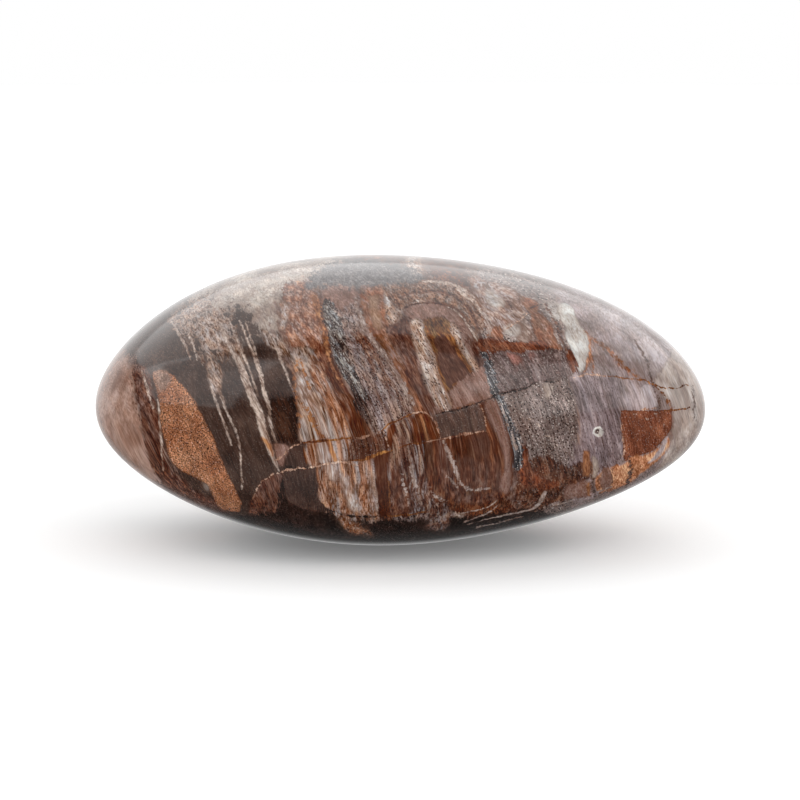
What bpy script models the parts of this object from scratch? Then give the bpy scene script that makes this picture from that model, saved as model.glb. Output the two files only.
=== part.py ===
"""Petrified wood pebble, one palm-sized stone worked smooth and polished all over.

The stone is one solid. Its skin is a sphere of directions carried out to a long, low
form: the thickest section sits left of the middle, the two ends are leaner than an
ellipse would be, the lower right flank is the leanest, and the back is a little flatter
than the front. It rests on a small oval flat spot on its underside.

Metres, +Z up, the long axis along X, the best face towards -Y. The origin is the middle
of the stone's box at the level that it rests on.
"""

import math

import bmesh
import bpy

# Driving dimensions
LENGTH = 0.0900
HALF_DEPTH = 0.0325
HALF_HEIGHT = 0.0210
FLAT_SPOT_LENGTH = 0.0158

# How the form leaves a plain ellipsoid, in metres
THICKEST_LEFT_OF_MIDDLE = 0.0033
CROWN_RISE = 0.00138
RIGHT_END_DROP = 0.0003
BACK_BOW = 0.0012

# The same, as shares of the size there
END_LEANNESS = 0.112
END_LEANNESS_TO_THE_RIGHT = -0.060
UPPER_FULLNESS = 0.132
UPPER_FULLNESS_TO_THE_RIGHT = 0.034
PLAN_TAPER_TO_THE_RIGHT = -0.05
BACK_FLATNESS = 0.07

# Shallow hollows left by the rough stone on the back and underside:
# direction from the middle, reach as a share of the half size, and depth in metres
HOLLOWS = [
    ((-0.50, 0.75, 0.43), 0.42, 0.0009),
    ((0.62, 0.70, -0.35), 0.36, 0.0007),
    ((-0.45, 0.35, -0.82), 0.34, 0.0006),
]

# How finely the skin is faceted
SEGMENTS_ROUND = 88
RINGS_HIGH = 42

STONE_COLOUR = (0.155, 0.098, 0.075, 1.0)
STONE_ROUGHNESS = 0.12


def clear_scene():
    for found in list(bpy.data.objects):
        bpy.data.objects.remove(found, do_unlink=True)


def hollow_depth(direction):
    """How deep the shallow hollows lie under the skin in one direction."""
    depth = 0.0
    for centre, reach, deepest in HOLLOWS:
        length = math.sqrt(sum(part * part for part in centre))
        gap = sum((a - b / length) ** 2 for a, b in zip(direction, centre))
        depth += deepest * math.exp(-gap / reach**2)
    return depth


def skin_point(direction):
    """The skin's point for a unit direction, measured from the stone's middle."""
    along, across, up = direction
    leanness = END_LEANNESS + END_LEANNESS_TO_THE_RIGHT * along
    fullness = UPPER_FULLNESS + UPPER_FULLNESS_TO_THE_RIGHT * along
    thickness = 1.0 - (leanness - fullness * up) * along**2

    x = LENGTH / 2 * along - THICKEST_LEFT_OF_MIDDLE * (1.0 - along**2)
    z = (HALF_HEIGHT * up + CROWN_RISE * up**2) * thickness - RIGHT_END_DROP * along

    plan_width = 1.0 + PLAN_TAPER_TO_THE_RIGHT * along
    flattened = across - BACK_FLATNESS * max(across, 0.0) ** 3
    y = HALF_DEPTH * flattened * plan_width + BACK_BOW * along**2

    inward = hollow_depth(direction)
    return (x - inward * along, y - inward * across, z - inward * up)


def ring_directions(latitude):
    """Unit directions round one level ring of the sphere of directions."""
    ring = []
    for step in range(SEGMENTS_ROUND):
        turn = 2 * math.pi * step / SEGMENTS_ROUND
        ring.append((
            math.cos(latitude) * math.cos(turn),
            math.cos(latitude) * math.sin(turn),
            math.sin(latitude),
        ))
    return ring


def skin_rings():
    """Rings of points from the edge of the flat spot up to just under the crown."""
    lowest = -math.acos(FLAT_SPOT_LENGTH / LENGTH)
    highest = math.pi / 2
    rings = []
    for level in range(RINGS_HIGH):
        latitude = lowest + (highest - lowest) * level / RINGS_HIGH
        rings.append([skin_point(direction) for direction in ring_directions(latitude)])
    return rings


def placed(rings, crown):
    """The rings and crown moved so that the flat spot is level and at height zero."""
    edge = rings[0]
    rest_height = sum(point[2] for point in edge) / len(edge)
    flat_edge = [(x, y, rest_height) for x, y, _ in edge]
    everything = [point for ring in rings for point in ring]
    middle_x = (min(p[0] for p in everything) + max(p[0] for p in everything)) / 2
    middle_y = (min(p[1] for p in everything) + max(p[1] for p in everything)) / 2

    def move(point):
        return (point[0] - middle_x, point[1] - middle_y, point[2] - rest_height)

    moved_rings = [[move(point) for point in ring] for ring in [flat_edge] + rings[1:]]
    return moved_rings, move(crown)


def skin_mesh():
    """Closed mesh of the skin: one flat oval underneath, then rings up to the crown."""
    rings, crown = placed(skin_rings(), skin_point((0.0, 0.0, 1.0)))
    body = bmesh.new()
    levels = [[body.verts.new(point) for point in ring] for ring in rings]
    top = body.verts.new(crown)

    body.faces.new(list(reversed(levels[0])))
    for lower, upper in zip(levels, levels[1:]):
        for step in range(SEGMENTS_ROUND):
            after = (step + 1) % SEGMENTS_ROUND
            body.faces.new((lower[step], lower[after], upper[after], upper[step]))
    for step in range(SEGMENTS_ROUND):
        after = (step + 1) % SEGMENTS_ROUND
        body.faces.new((levels[-1][step], levels[-1][after], top))

    for face in body.faces:
        face.smooth = len(face.verts) < 5
    mesh = bpy.data.meshes.new("pebble")
    body.to_mesh(mesh)
    body.free()
    return mesh


def polished_petrified_wood():
    material = bpy.data.materials.new("polished_petrified_wood")
    material.use_nodes = True
    shader = material.node_tree.nodes["Principled BSDF"]
    shader.inputs["Base Color"].default_value = STONE_COLOUR
    shader.inputs["Roughness"].default_value = STONE_ROUGHNESS
    shader.inputs["Metallic"].default_value = 0.0
    return material


def make_pebble():
    pebble = bpy.data.objects.new("pebble", skin_mesh())
    pebble.data.materials.append(polished_petrified_wood())
    bpy.context.collection.objects.link(pebble)
    return pebble


def main():
    clear_scene()
    make_pebble()


main()
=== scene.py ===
# %% [markdown]
# # A polished petrified wood pebble
# The real thing is a palm-sized piece of fossil wood. Silica took the place of the wood
# cell by cell, the log cracked and healed several times, and in the end somebody ground
# and polished a lump of it until it shone. So there is one solid body, one material that
# runs right through it, and a skin that cuts that material where it happens to lie.
# The file builds it in that order: the camera, the form, the marks that run through the
# stone, the mesh, the material that reads those marks, and last the floor and the lights.

# %% The frame
import math

import bmesh
import bpy
import numpy as np
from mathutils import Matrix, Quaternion, Vector, noise


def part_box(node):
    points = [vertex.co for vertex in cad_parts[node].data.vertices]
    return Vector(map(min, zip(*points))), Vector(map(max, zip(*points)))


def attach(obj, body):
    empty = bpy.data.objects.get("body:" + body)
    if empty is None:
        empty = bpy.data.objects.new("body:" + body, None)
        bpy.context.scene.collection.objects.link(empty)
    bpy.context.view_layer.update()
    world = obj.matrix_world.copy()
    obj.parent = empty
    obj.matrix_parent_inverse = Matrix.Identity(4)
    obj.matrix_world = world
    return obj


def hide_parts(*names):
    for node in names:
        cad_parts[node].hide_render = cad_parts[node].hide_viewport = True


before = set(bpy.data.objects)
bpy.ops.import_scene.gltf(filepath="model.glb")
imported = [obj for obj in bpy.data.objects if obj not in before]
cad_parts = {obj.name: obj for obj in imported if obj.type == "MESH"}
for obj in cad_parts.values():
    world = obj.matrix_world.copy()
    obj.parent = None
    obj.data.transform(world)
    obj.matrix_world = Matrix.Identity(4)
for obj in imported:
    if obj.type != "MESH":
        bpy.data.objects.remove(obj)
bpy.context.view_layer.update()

LOW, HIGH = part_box("pebble")
MM = 0.001
print("CAD box in mm:", [round((h - l) / MM, 2) for l, h in zip(LOW, HIGH)])

# %% [markdown]
# ## Camera
# The photograph was taken from a little above the stone's own level with a long lens:
# both ends of the stone look equally big and the floor is seen very flat. A long lens is
# the easy way to that look, because it has almost no perspective.

# %% Camera
FRAME_PX = 800
SENSOR = 36 * MM
LENS = 200 * MM
PX_PER_MM = 6.783
LOOK_DOWN = math.radians(9)
STONE_MIDDLE = Vector((-0.08 * MM, 1.15 * MM, 20.37 * MM))

LENS_PX = LENS / SENSOR * FRAME_PX
CAMERA_DISTANCE = LENS_PX / PX_PER_MM * MM
INTO_PICTURE = Vector((0, math.cos(LOOK_DOWN), -math.sin(LOOK_DOWN)))
UP_PICTURE = Vector((0, math.sin(LOOK_DOWN), math.cos(LOOK_DOWN)))
CAMERA_POINT = STONE_MIDDLE - INTO_PICTURE * CAMERA_DISTANCE

camera = bpy.data.objects.new("camera", bpy.data.cameras.new("camera"))
camera.data.lens = LENS / MM
camera.data.sensor_width = SENSOR / MM
camera.data.clip_start = 0.01
camera.location = CAMERA_POINT
camera.rotation_euler = (math.pi / 2 - LOOK_DOWN, 0, 0)
bpy.context.collection.objects.link(camera)
bpy.context.scene.camera = camera
print("camera stands", round(CAMERA_DISTANCE / MM), "mm from the stone")

# %% [markdown]
# ## Form of the skin
# A ground and polished pebble is nearly an ellipsoid, but never quite: its thickest part
# sits off the middle, its ends are leaner, and faint hollows of the rough stone survive.
# It could be sculpted or lofted from sections. A formula that carries each direction of a
# sphere out to the skin is chosen instead, because it gives the same form at any
# fineness, with no creases to break up the reflections.

# %% Form of the skin
HALF_LENGTH = (HIGH.x - LOW.x) / 2
HALF_DEPTH = 32.5 * MM
HALF_HEIGHT = 21.0 * MM
THICKEST_LEFT_OF_MIDDLE = 3.3 * MM
CROWN_RISE = 1.38 * MM
RIGHT_END_DROP = 0.3 * MM
BACK_BOW = 1.2 * MM
END_LEANNESS = 0.112
END_LEANNESS_TO_THE_RIGHT = -0.060
UPPER_FULLNESS = 0.132
UPPER_FULLNESS_TO_THE_RIGHT = 0.034
PLAN_TAPER_TO_THE_RIGHT = -0.05
BACK_FLATNESS = 0.07
HOLLOWS = [
    ((-0.50, 0.75, 0.43), 0.42, 0.9 * MM),
    ((0.62, 0.70, -0.35), 0.36, 0.7 * MM),
    ((-0.45, 0.35, -0.82), 0.34, 0.6 * MM),
]


def skin(directions):
    """Points of the stone's skin for unit directions, one row each, about its middle."""
    along, across, up = directions.T
    leanness = END_LEANNESS + END_LEANNESS_TO_THE_RIGHT * along
    fullness = UPPER_FULLNESS + UPPER_FULLNESS_TO_THE_RIGHT * along
    thickness = 1 - (leanness - fullness * up) * along**2
    x = HALF_LENGTH * along - THICKEST_LEFT_OF_MIDDLE * (1 - along**2)
    z = (HALF_HEIGHT * up + CROWN_RISE * up**2) * thickness - RIGHT_END_DROP * along
    flattened = across - BACK_FLATNESS * np.maximum(across, 0) ** 3
    y = HALF_DEPTH * flattened * (1 + PLAN_TAPER_TO_THE_RIGHT * along) + BACK_BOW * along**2
    points = np.stack([x, y, z], axis=1)
    for centre, reach, deepest in HOLLOWS:
        centre = np.array(centre) / np.linalg.norm(centre)
        gap = ((directions - centre) ** 2).sum(axis=1)
        points -= directions * (deepest * np.exp(-gap / reach**2))[:, None]
    return points


def placed(points):
    """The skin's points moved into the CAD box and cut level at the flat spot."""
    low, high = points.min(axis=0), points.max(axis=0)
    shift = (np.array(LOW) + np.array(HIGH) - low - high) / 2
    shift[2] = HIGH.z - high[2]
    points = points + shift
    points[:, 2] = np.maximum(points[:, 2], LOW.z)
    return points


# %% [markdown]
# ## Where the marks are drawn
# Every mark in the stone is a sheet, a vein or a lump that the skin cuts through. The
# easiest place to draw them is the picture plane: a point of the skin is looked up where
# the camera sees it, in pixels of the 800 px photograph, and the marks are outlines in
# those pixels, chosen on a grid laid over the photograph. Behind the stone's own
# outline the sheets lean over and wander, so that the back isn't a mirror of the front.

# %% Picture plane
SHEETS_LEAN_BACK = 0.62
SHEETS_WANDER = 2.2 * MM
WANDER_LENGTH = 9 * MM
EASE_IN = 6 * MM
OUTLINE_SLOPE = 0.38
UPWARD_WAVE = 1.7
INWARD_WAVE = 2.1
LENGTHWISE_WAVE = 0.8
UP_AND_DOWN_WANDER = 1.6


def picture_place(points):
    """Where marks are looked up: pixels across and down, and metres behind the outline."""
    offset = points - np.array(CAMERA_POINT)
    depth = offset @ np.array(INTO_PICTURE)
    across = FRAME_PX / 2 + LENS_PX * offset[:, 0] / depth
    down = FRAME_PX / 2 - LENS_PX * (offset @ np.array(UP_PICTURE)) / depth
    middle = np.array(STONE_MIDDLE)
    behind = points[:, 1] - middle[1] - OUTLINE_SLOPE * (points[:, 2] - middle[2])
    behind = np.maximum(behind, 0)
    eased = behind**2 / (behind + EASE_IN)
    grow = eased / (eased + WANDER_LENGTH)
    wave = np.sin(points[:, 2] / WANDER_LENGTH * UPWARD_WAVE + 1.0)
    wave = wave + np.sin(eased / WANDER_LENGTH * INWARD_WAVE)
    lengthwise = np.sin(points[:, 0] / WANDER_LENGTH * LENGTHWISE_WAVE)
    px = PX_PER_MM / MM
    across = across + px * (SHEETS_LEAN_BACK * eased + SHEETS_WANDER * grow * wave)
    down = down + px * SHEETS_WANDER * grow * UP_AND_DOWN_WANDER * lengthwise
    return across, down, eased


# %% [markdown]
# ## Looks
# Petrified wood is quartz, coloured by what came in with the water: iron gives rust,
# ochre and brick, carbon and manganese give charcoal, and clean silica is cream, milky or
# clear. A look is four shades of one such filling, and how much of the old wood shows in
# it, as streaks, as dark pores and as pale grit. Keeping the looks in one table, apart
# from the marks that use them, lets one filling turn up in several places, as it does in
# the stone.

# %% Looks
def linear(hex_colour):
    """Linear colour of an sRGB hex value."""
    channels = [int(hex_colour[i:i + 2], 16) / 255 for i in (1, 3, 5)]
    return tuple(c / 12.92 if c <= 0.04045 else ((c + 0.055) / 1.055) ** 2.4 for c in channels)


# name: four colours from the darkest streaks to the lightest, how streaky, threads of one
# more colour and how many, then how much of dark pores, pale grit and sand, from 0 to 1
LOOKS = {
    "mauve_wood": ("#4a2e22", "#5b3e33", "#6a4f45", "#80695f", 0.7, "#94796c", 0.2, 0.2, 0.0, 0.0),
    "tan_wood": ("#7a5747", "#8d6c5d", "#9b7d6f", "#a98d81", 0.15, "#b39a8e", 0.04, 0.0, 0.0, 0.0),
    "smoky_chert": ("#2e1c15", "#38251d", "#412e26", "#503c33", 0.3, "#6e574c", 0.12, 0.0, 0.12, 0.0),
    "burnt_chert": ("#140500", "#1f0a03", "#2b1409", "#43281a", 0.3, "#4a2410", 0.3, 0.0, 0.10, 0.0),
    "cream_cloud": ("#7a665b", "#8f7d73", "#a39388", "#c2b5aa", 0.35, "#6a5448", 0.12, 0.0, 0.0, 0.0),
    "cream_fibre": ("#4a2c1a", "#7e6557", "#91796d", "#b09d93", 1.0, "#cabbb0", 0.3, 0.1, 0.0, 0.0),
    "cream_thread": ("#6e5446", "#937b6e", "#aa968a", "#c8b6aa", 0.8, None, 0.0, 0.3, 0.0, 0.0),
    "red_fibre": ("#663d2b", "#7d5544", "#8f6a59", "#ab8c7e", 1.0, "#4e2c20", 0.4, 0.5, 0.1, 0.0),
    "white_silica": ("#7a5c4c", "#9c8276", "#ae9c93", "#cdc5c2", 0.75, "#a4683e", 0.15, 0.1, 0.0, 0.0),
    "orange_stain": ("#6a3a1e", "#85563c", "#9c6640", "#b8845a", 0.8, None, 0.0, 0.1, 0.0, 0.0),
    "tan_fibre": ("#5f3418", "#7e5641", "#8f6956", "#b39484", 1.0, "#d0c0b6", 0.3, 0.5, 0.1, 0.0),
    "deep_rust": ("#401206", "#51260c", "#5e331c", "#7a5442", 0.9, "#2a130b", 0.4, 0.2, 0.0, 0.0),
    "pored_grey": ("#52362a", "#69504a", "#7b655e", "#9a867f", 0.85, "#b8aaa4", 0.3, 1.0, 0.6, 0.0),
    "pored_blue": ("#2c1c18", "#4b3b37", "#625753", "#9a9692", 0.9, "#a8acae", 0.35, 1.0, 0.9, 0.0),
    "pored_rust": ("#553123", "#64443a", "#725649", "#90796f", 0.9, "#3a1f16", 0.5, 1.0, 0.3, 0.0),
    "black_grey": ("#23120c", "#3b231b", "#4b342c", "#6e5a53", 1.0, "#94857f", 0.35, 0.8, 0.3, 0.0),
    "ribbon_grey": ("#664a3d", "#83695f", "#948077", "#b3a39b", 0.8, "#6e5a52", 0.35, 0.4, 0.0, 0.0),
    "rust_wood": ("#5f2f0c", "#72452c", "#80553e", "#9c7565", 0.9, "#a98266", 0.2, 0.3, 0.0, 0.0),
    "pale_amber": ("#785030", "#87624a", "#937059", "#a3846c", 0.7, None, 0.0, 0.1, 0.0, 0.0),
    "dark_mauve": ("#3a160b", "#4f2c1e", "#5f3d30", "#7a594c", 0.9, "#86685a", 0.2, 0.2, 0.0, 0.0),
    "pored_tan": ("#4c2a18", "#6a4633", "#7a5a49", "#967a6c", 0.8, "#b5a194", 0.3, 0.8, 0.3, 0.0),
    "pored_cream": ("#7a5c4b", "#8f7567", "#a38f84", "#c6b9b0", 0.8, "#8a5a3c", 0.3, 1.0, 0.2, 0.0),
    "amber_brown": ("#3a1304", "#4c2410", "#5b3220", "#78503a", 0.9, "#3e2717", 0.3, 0.2, 0.0, 0.0),
    "arch_core": ("#432317", "#543225", "#5d3b2e", "#6f5145", 0.6, "#7c594c", 0.1, 0.2, 0.0, 0.0),
    "pink_mauve": ("#6b4b3e", "#77564a", "#806056", "#8f7266", 0.7, "#a68c82", 0.2, 0.3, 0.2, 0.0),
    "pink_white": ("#64402c", "#7a5c4f", "#8a7067", "#a8968f", 1.0, "#c8beba", 0.4, 0.2, 0.0, 0.0),
    "opal": ("#8f7f76", "#ada29a", "#b9b2ac", "#cbcac6", 0.4, "#a4917f", 0.1, 0.0, 0.0, 0.0),
    "grey_green": ("#5b3a28", "#684a3b", "#70564a", "#8a756a", 0.7, "#a3978a", 0.2, 0.2, 0.0, 0.0),
    "brick": ("#451b08", "#5d2f1c", "#6b3c28", "#8a5a42", 0.8, "#b0623c", 0.2, 0.6, 0.1, 0.0),
    "brick_fleck": ("#6a3a30", "#85594f", "#94685e", "#a87870", 0.6, None, 0.0, 0.4, 0.0, 0.0),
    "slate_grain": ("#44302c", "#5b4844", "#675450", "#84726e", 0.7, "#8e6f6a", 0.3, 0.6, 0.5, 0.2),
    "granular": ("#66504a", "#736059", "#7f6f6a", "#94827c", 0.5, "#544641", 0.4, 1.0, 1.0, 0.4),
    "granular_dark": ("#4a3631", "#5f4d48", "#6b5a55", "#867570", 0.6, "#2c221e", 0.5, 1.0, 1.0, 0.5),
    "vein_blue": ("#221f21", "#3c3738", "#524d4f", "#84807f", 0.7, "#a8aeb4", 0.35, 0.9, 1.0, 0.3),
    "purple_wood": ("#64504c", "#77655f", "#887674", "#a09090", 0.35, "#b5a6a8", 0.12, 0.2, 0.0, 0.0),
    "pale_end": ("#8c7a71", "#9f8f87", "#aea098", "#bdb1aa", 0.2, "#8b7469", 0.08, 0.0, 0.0, 0.0),
    "lavender": ("#82706c", "#9b8c8b", "#aa9d9d", "#c0b6b7", 0.4, "#8d7c7c", 0.1, 0.0, 0.0, 0.0),
    "rust_glass": ("#5a2c1a", "#6c3d2a", "#7a4630", "#965f44", 0.4, "#4a1d0e", 0.3, 0.3, 0.3, 0.4),
    "orange_cream": ("#7c492c", "#a46a4a", "#bb8260", "#d8ad86", 0.75, "#7c4a30", 0.25, 0.2, 0.0, 0.0),
    "red_brown": ("#301006", "#472719", "#543527", "#735648", 0.8, "#7a4c3c", 0.3, 0.6, 0.3, 0.0),
    "charcoal": ("#43312b", "#4e3931", "#573f36", "#6b554c", 0.6, "#6c5c52", 0.2, 0.4, 0.2, 0.0),
    # the darkest filling; it also serves as painted shade on the underside
    "black_chert": ("#0e0502", "#180b06", "#22130d", "#372019", 0.5, "#54382c", 0.2, 0.0, 0.1, 0.0),
    "chocolate": ("#3a170a", "#451b08", "#4a220e", "#593423", 0.8, "#6a4232", 0.2, 0.2, 0.0, 0.0),
    "mauve_grey": ("#3c1a10", "#58392d", "#684b41", "#8a736b", 1.0, "#b0a49e", 0.4, 0.6, 0.1, 0.0),
    "healed_crack": ("#5e3526", "#8a6450", "#b08c78", "#d8bfab", 0.5, None, 0.0, 0.0, 0.0, 0.4),
    "rust_crack": ("#3e1806", "#5c3018", "#7a4a28", "#b07840", 0.5, None, 0.0, 0.0, 0.0, 0.3),
    "open_crack": ("#120906", "#22110b", "#33201a", "#4a342b", 0.3, None, 0.0, 0.0, 0.0, 0.0),
    "white_thread": ("#6a4c40", "#857066", "#9c8a82", "#b9aca6", 0.5, None, 0.0, 0.3, 0.0, 0.0),
    "mauve_chert": ("#33211b", "#3c2922", "#443029", "#523c34", 0.4, "#6a5046", 0.1, 0.0, 0.1, 0.0),
    "dusky_mauve": ("#54423f", "#695757", "#776566", "#908081", 0.7, "#a39599", 0.15, 0.5, 0.1, 0.0),
    "amber_rim": ("#3e1a06", "#5a3418", "#6c4526", "#8c6038", 0.8, None, 0.0, 0.2, 0.0, 0.0),
    "ochre_sand": ("#7c4c31", "#8d5b3f", "#9b694b", "#ad7a5a", 0.2, "#643c28", 0.1, 0.3, 0.4, 1.0),
    "blue_cloud": ("#43393a", "#595251", "#676060", "#7f7877", 0.7, "#8f8886", 0.3, 0.1, 0.0, 0.0),
}

# how strongly streaks of these looks run from rusty to bluish; the rest hardly do
STAINED = {
    "tan_fibre": 1.0, "red_fibre": 0.8, "cream_fibre": 0.5, "white_silica": 0.35, "deep_rust": 0.8,
    "pored_grey": 0.5, "pored_blue": 0.4, "pored_rust": 0.8, "black_grey": 0.5, "rust_wood": 0.9,
    "dark_mauve": 0.7, "pored_tan": 0.7, "pored_cream": 0.5, "amber_brown": 0.9, "amber_rim": 0.9,
    "pink_white": 0.5, "brick": 0.6, "mauve_grey": 0.8, "red_brown": 0.8, "mauve_wood": 0.5,
}

print(len(LOOKS), "fillings, of which", len(STAINED), "are stained")

# %% [markdown]
# ## Two kinds of mark
# A cut through petrified wood shows two things: fields of one filling, and thin lines where
# a crack or a growth ring crosses the skin. A field is drawn as a closed outline and a line
# as a few points with a width at each. Both could be painted on a picture, but an outline
# stays sharp at any size and can be moved by hand.

# %% Areas and threads
layers = []


def area(name, look, outlines, soft=0.12, ragged=0.32, reach=4.0, straight=False, strength=1.0,
         edge="fibre", seam=0.5):
    """Marks that fill closed outlines of pixels; soft, ragged and reach are in millimetres."""
    layers.append(dict(kind="area", name=name, look=look, lines=outlines, soft=soft, ragged=ragged,
                       reach=reach, straight=straight, strength=strength, edge=edge, seam=seam))


def thread(name, look, strokes, soft=0.05, ragged=0.10, reach=4.0, strength=1.0):
    """Marks that follow open lines, each point being across, down and width in pixels."""
    layers.append(dict(kind="thread", name=name, look=look, lines=strokes, soft=soft, ragged=ragged,
                       reach=reach, straight=False, strength=strength, edge="mineral", seam=0))


# a reach of more millimetres than the stone is deep
THROUGH = 99.0
print("a mark reaches all the way through at", THROUGH, "mm")

# %% [markdown]
# ## Sheets that run through the whole stone
# The log filled up in sheets, so its broad bands go in at the front and come out at the
# back. These few marks are given no depth limit, and everything else lies on top of them:
# dark chert on the left, then the striped heart of the stone, granular grey, mauve and the
# pale right end.

# %% Sheets that run through the whole stone
area("left_chert_sheet", "smoky_chert", [
    [(100, 150), (118, 300), (126, 345), (140, 368), (152, 400), (160, 440), (174, 470), (200, 500),
     (225, 540), (250, 640), (380, 640), (345, 560), (326, 520), (318, 500), (317, 470), (306, 450),
     (302, 440), (297, 405), (292, 375), (280, 350), (262, 320), (250, 290), (230, 150)],
], soft=0.3, ragged=0.8, reach=THROUGH)
area("granular_sheet", "granular", [
    [(470, 150), (480, 300), (480, 350), (492, 385), (503, 415), (514, 445), (520, 480), (520, 520),
     (530, 640), (575, 640), (571, 520), (573, 465), (579, 430), (577, 400), (569, 378), (572, 350),
     (566, 320), (556, 290), (540, 150)],
], soft=0.3, ragged=0.8, reach=THROUGH)
area("mauve_sheet", "purple_wood", [
    [(510, 150), (552, 290), (564, 320), (570, 345), (568, 375), (576, 400), (578, 430), (572, 465),
     (570, 520), (574, 640), (680, 640), (672, 500), (672, 440), (672, 400), (662, 378), (678, 350),
     (692, 300), (700, 150)],
], soft=0.4, ragged=0.8, reach=THROUGH)
area("lavender_haze", "lavender", [
    [(585, 285), (620, 270), (700, 300), (690, 345), (672, 362), (658, 374), (640, 372), (625, 350),
     (605, 330)],
], soft=1.2, ragged=1.6, strength=0.55, reach=10, seam=0)
area("pale_end_sheet", "pale_end", [
    [(690, 150), (684, 300), (672, 350), (656, 378), (662, 390), (671, 408), (672, 430), (664, 455),
     (650, 480), (640, 500), (620, 640), (800, 640), (800, 150)],
], soft=0.4, ragged=0.6, reach=THROUGH)
area("tan_tip_sheet", "tan_wood", [
    [(40, 335), (112, 346), (128, 360), (134, 380), (139, 400), (144, 430), (152, 460), (164, 482),
     (180, 505), (190, 540), (40, 560)],
], soft=0.4, ragged=0.9, reach=THROUGH)

# %% The heart's bands, seen at the back
area("heart_tan_band", "tan_fibre", [
    [(284, 150), (290, 300), (296, 360), (303, 440), (320, 515), (330, 640), (392, 640), (380, 515),
     (352, 440), (326, 360), (318, 300), (308, 150)],
], soft=0.3, ragged=0.8, reach=THROUGH)
area("heart_rust_band", "deep_rust", [
    [(308, 150), (318, 300), (326, 360), (352, 440), (380, 515), (392, 640), (404, 640), (393, 515),
     (372, 432), (340, 372), (326, 300), (316, 150)],
], soft=0.3, ragged=0.8, reach=THROUGH)
area("heart_grey_band", "pored_grey", [
    [(316, 150), (322, 300), (340, 370), (375, 433), (393, 515), (404, 640), (442, 640), (430, 515),
     (413, 411), (393, 373), (360, 322), (352, 150)],
], soft=0.3, ragged=0.8, reach=THROUGH)
area("heart_brown_band", "rust_wood", [
    [(352, 150), (362, 310), (385, 350), (413, 411), (430, 515), (442, 640), (452, 640), (442, 515),
     (428, 408), (402, 355), (386, 300), (376, 150)],
], soft=0.3, ragged=0.8, reach=THROUGH)
area("heart_cream_band", "pored_cream", [
    [(400, 150), (410, 310), (424, 360), (440, 405), (452, 515), (462, 640), (474, 640), (464, 515),
     (452, 405), (436, 345), (426, 310), (416, 150)],
], soft=0.3, ragged=0.8, reach=THROUGH)
area("heart_amber_band", "amber_brown", [
    [(416, 150), (436, 310), (452, 400), (466, 515), (476, 640), (520, 640), (512, 515), (500, 440),
     (482, 380), (470, 310), (456, 150)],
], soft=0.3, ragged=0.8, reach=THROUGH)
print(len(layers), "marks so far")

# %% [markdown]
# ## Left part
# Dark brown chert, crossed by cream threads where silica crept along the old fibres and
# gathered in a milky cloud above. The lens of ochre sand is a hollow that filled with grit
# before it set. Long thin threads are strokes, and the cloud is an area with very ragged
# edges, so that it frays along the grain.

# %% Left part
area("burnt_corner", "burnt_chert", [
    [(266, 398), (280, 392), (294, 398), (298, 415), (301, 440), (286, 443), (277, 440), (272, 420)],
], soft=0.5, ragged=0.5)
area("brown_rind", "dark_mauve", [
    [(132, 372), (141, 366), (150, 372), (154, 392), (159, 420), (163, 450), (170, 470), (190, 488),
     (214, 500), (226, 512), (200, 508), (170, 495), (152, 470), (144, 440), (139, 410)],
], soft=0.3, ragged=0.6)
area("milky_cloud", "cream_cloud", [
    [(186, 300), (205, 284), (240, 262), (290, 236), (345, 230), (350, 258), (322, 276), (300, 284),
     (288, 294), (281, 304), (276, 320), (273, 336), (264, 334), (253, 320), (243, 306), (232, 308),
     (226, 319), (214, 322), (202, 314)],
], soft=0.5, ragged=2.0, reach=14, seam=0)
area("frayed_fibres", "cream_fibre", [
    [(170, 318), (190, 300), (205, 296), (222, 312), (232, 322), (238, 345), (244, 364), (236, 362),
     (226, 350), (222, 356), (208, 358), (200, 352), (192, 338), (180, 332)],
], soft=0.4, ragged=2.4, seam=0)
area("fibre_tufts", "cream_fibre", [
    [(206, 362), (216, 361), (222, 370), (222, 384), (216, 394), (209, 388), (208, 374)],
    [(262, 330), (272, 332), (282, 338), (290, 352), (284, 356), (274, 350), (266, 344)],
], soft=0.2, ragged=0.5)
thread("cream_threads", "cream_thread", [
    [(170, 320, 1.4), (181, 337, 2.2), (191, 360, 1.2)],
    [(183, 318, 1.2), (190, 338, 1.9), (197, 360, 1.0)],
    [(216, 384, 2.9), (226, 410, 2.2), (236, 434, 1.7), (241, 456, 1.4), (242, 490, 1.0)],
    [(211, 388, 1.9), (221, 416, 1.9), (231, 446, 1.2)],
    [(219, 322, 2.4), (228, 344, 4.1), (240, 364, 5.4), (248, 386, 7.8), (257, 408, 7.8),
     (264, 432, 7.2), (271, 452, 4.8), (279, 470, 1.9)],
    [(240, 320, 1.7), (250, 346, 2.4), (259, 372, 2.2), (266, 400, 2.2), (272, 430, 2.6),
     (276, 442, 1.7)],
    [(228, 318, 1.7), (239, 345, 2.2), (250, 372, 1.9), (259, 396, 1.7)],
    [(246, 322, 1.2), (254, 348, 1.7), (262, 376, 1.4), (270, 410, 1.4)],
    [(270, 336, 4.1), (277, 348, 3.1), (282, 362, 2.2), (287, 375, 1.4), (291, 386, 1.0)],
    [(142, 372, 1.4), (148, 390, 2.6), (153, 408, 1.7)],
    [(158, 400, 1.4), (160, 420, 2.2), (161, 445, 1.7), (163, 470, 1.4)],
    [(275, 482, 1.2), (279, 495, 1.9), (283, 512, 1.2)],
    [(280, 474, 1.2), (283, 488, 2.2), (285, 504, 1.2)],
], soft=0.12, ragged=0.13)
thread("orange_wisp", "orange_stain", [
    [(262, 437, 1.5), (268, 444, 5.0), (273, 456, 2.0)],
], soft=0.2)
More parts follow.
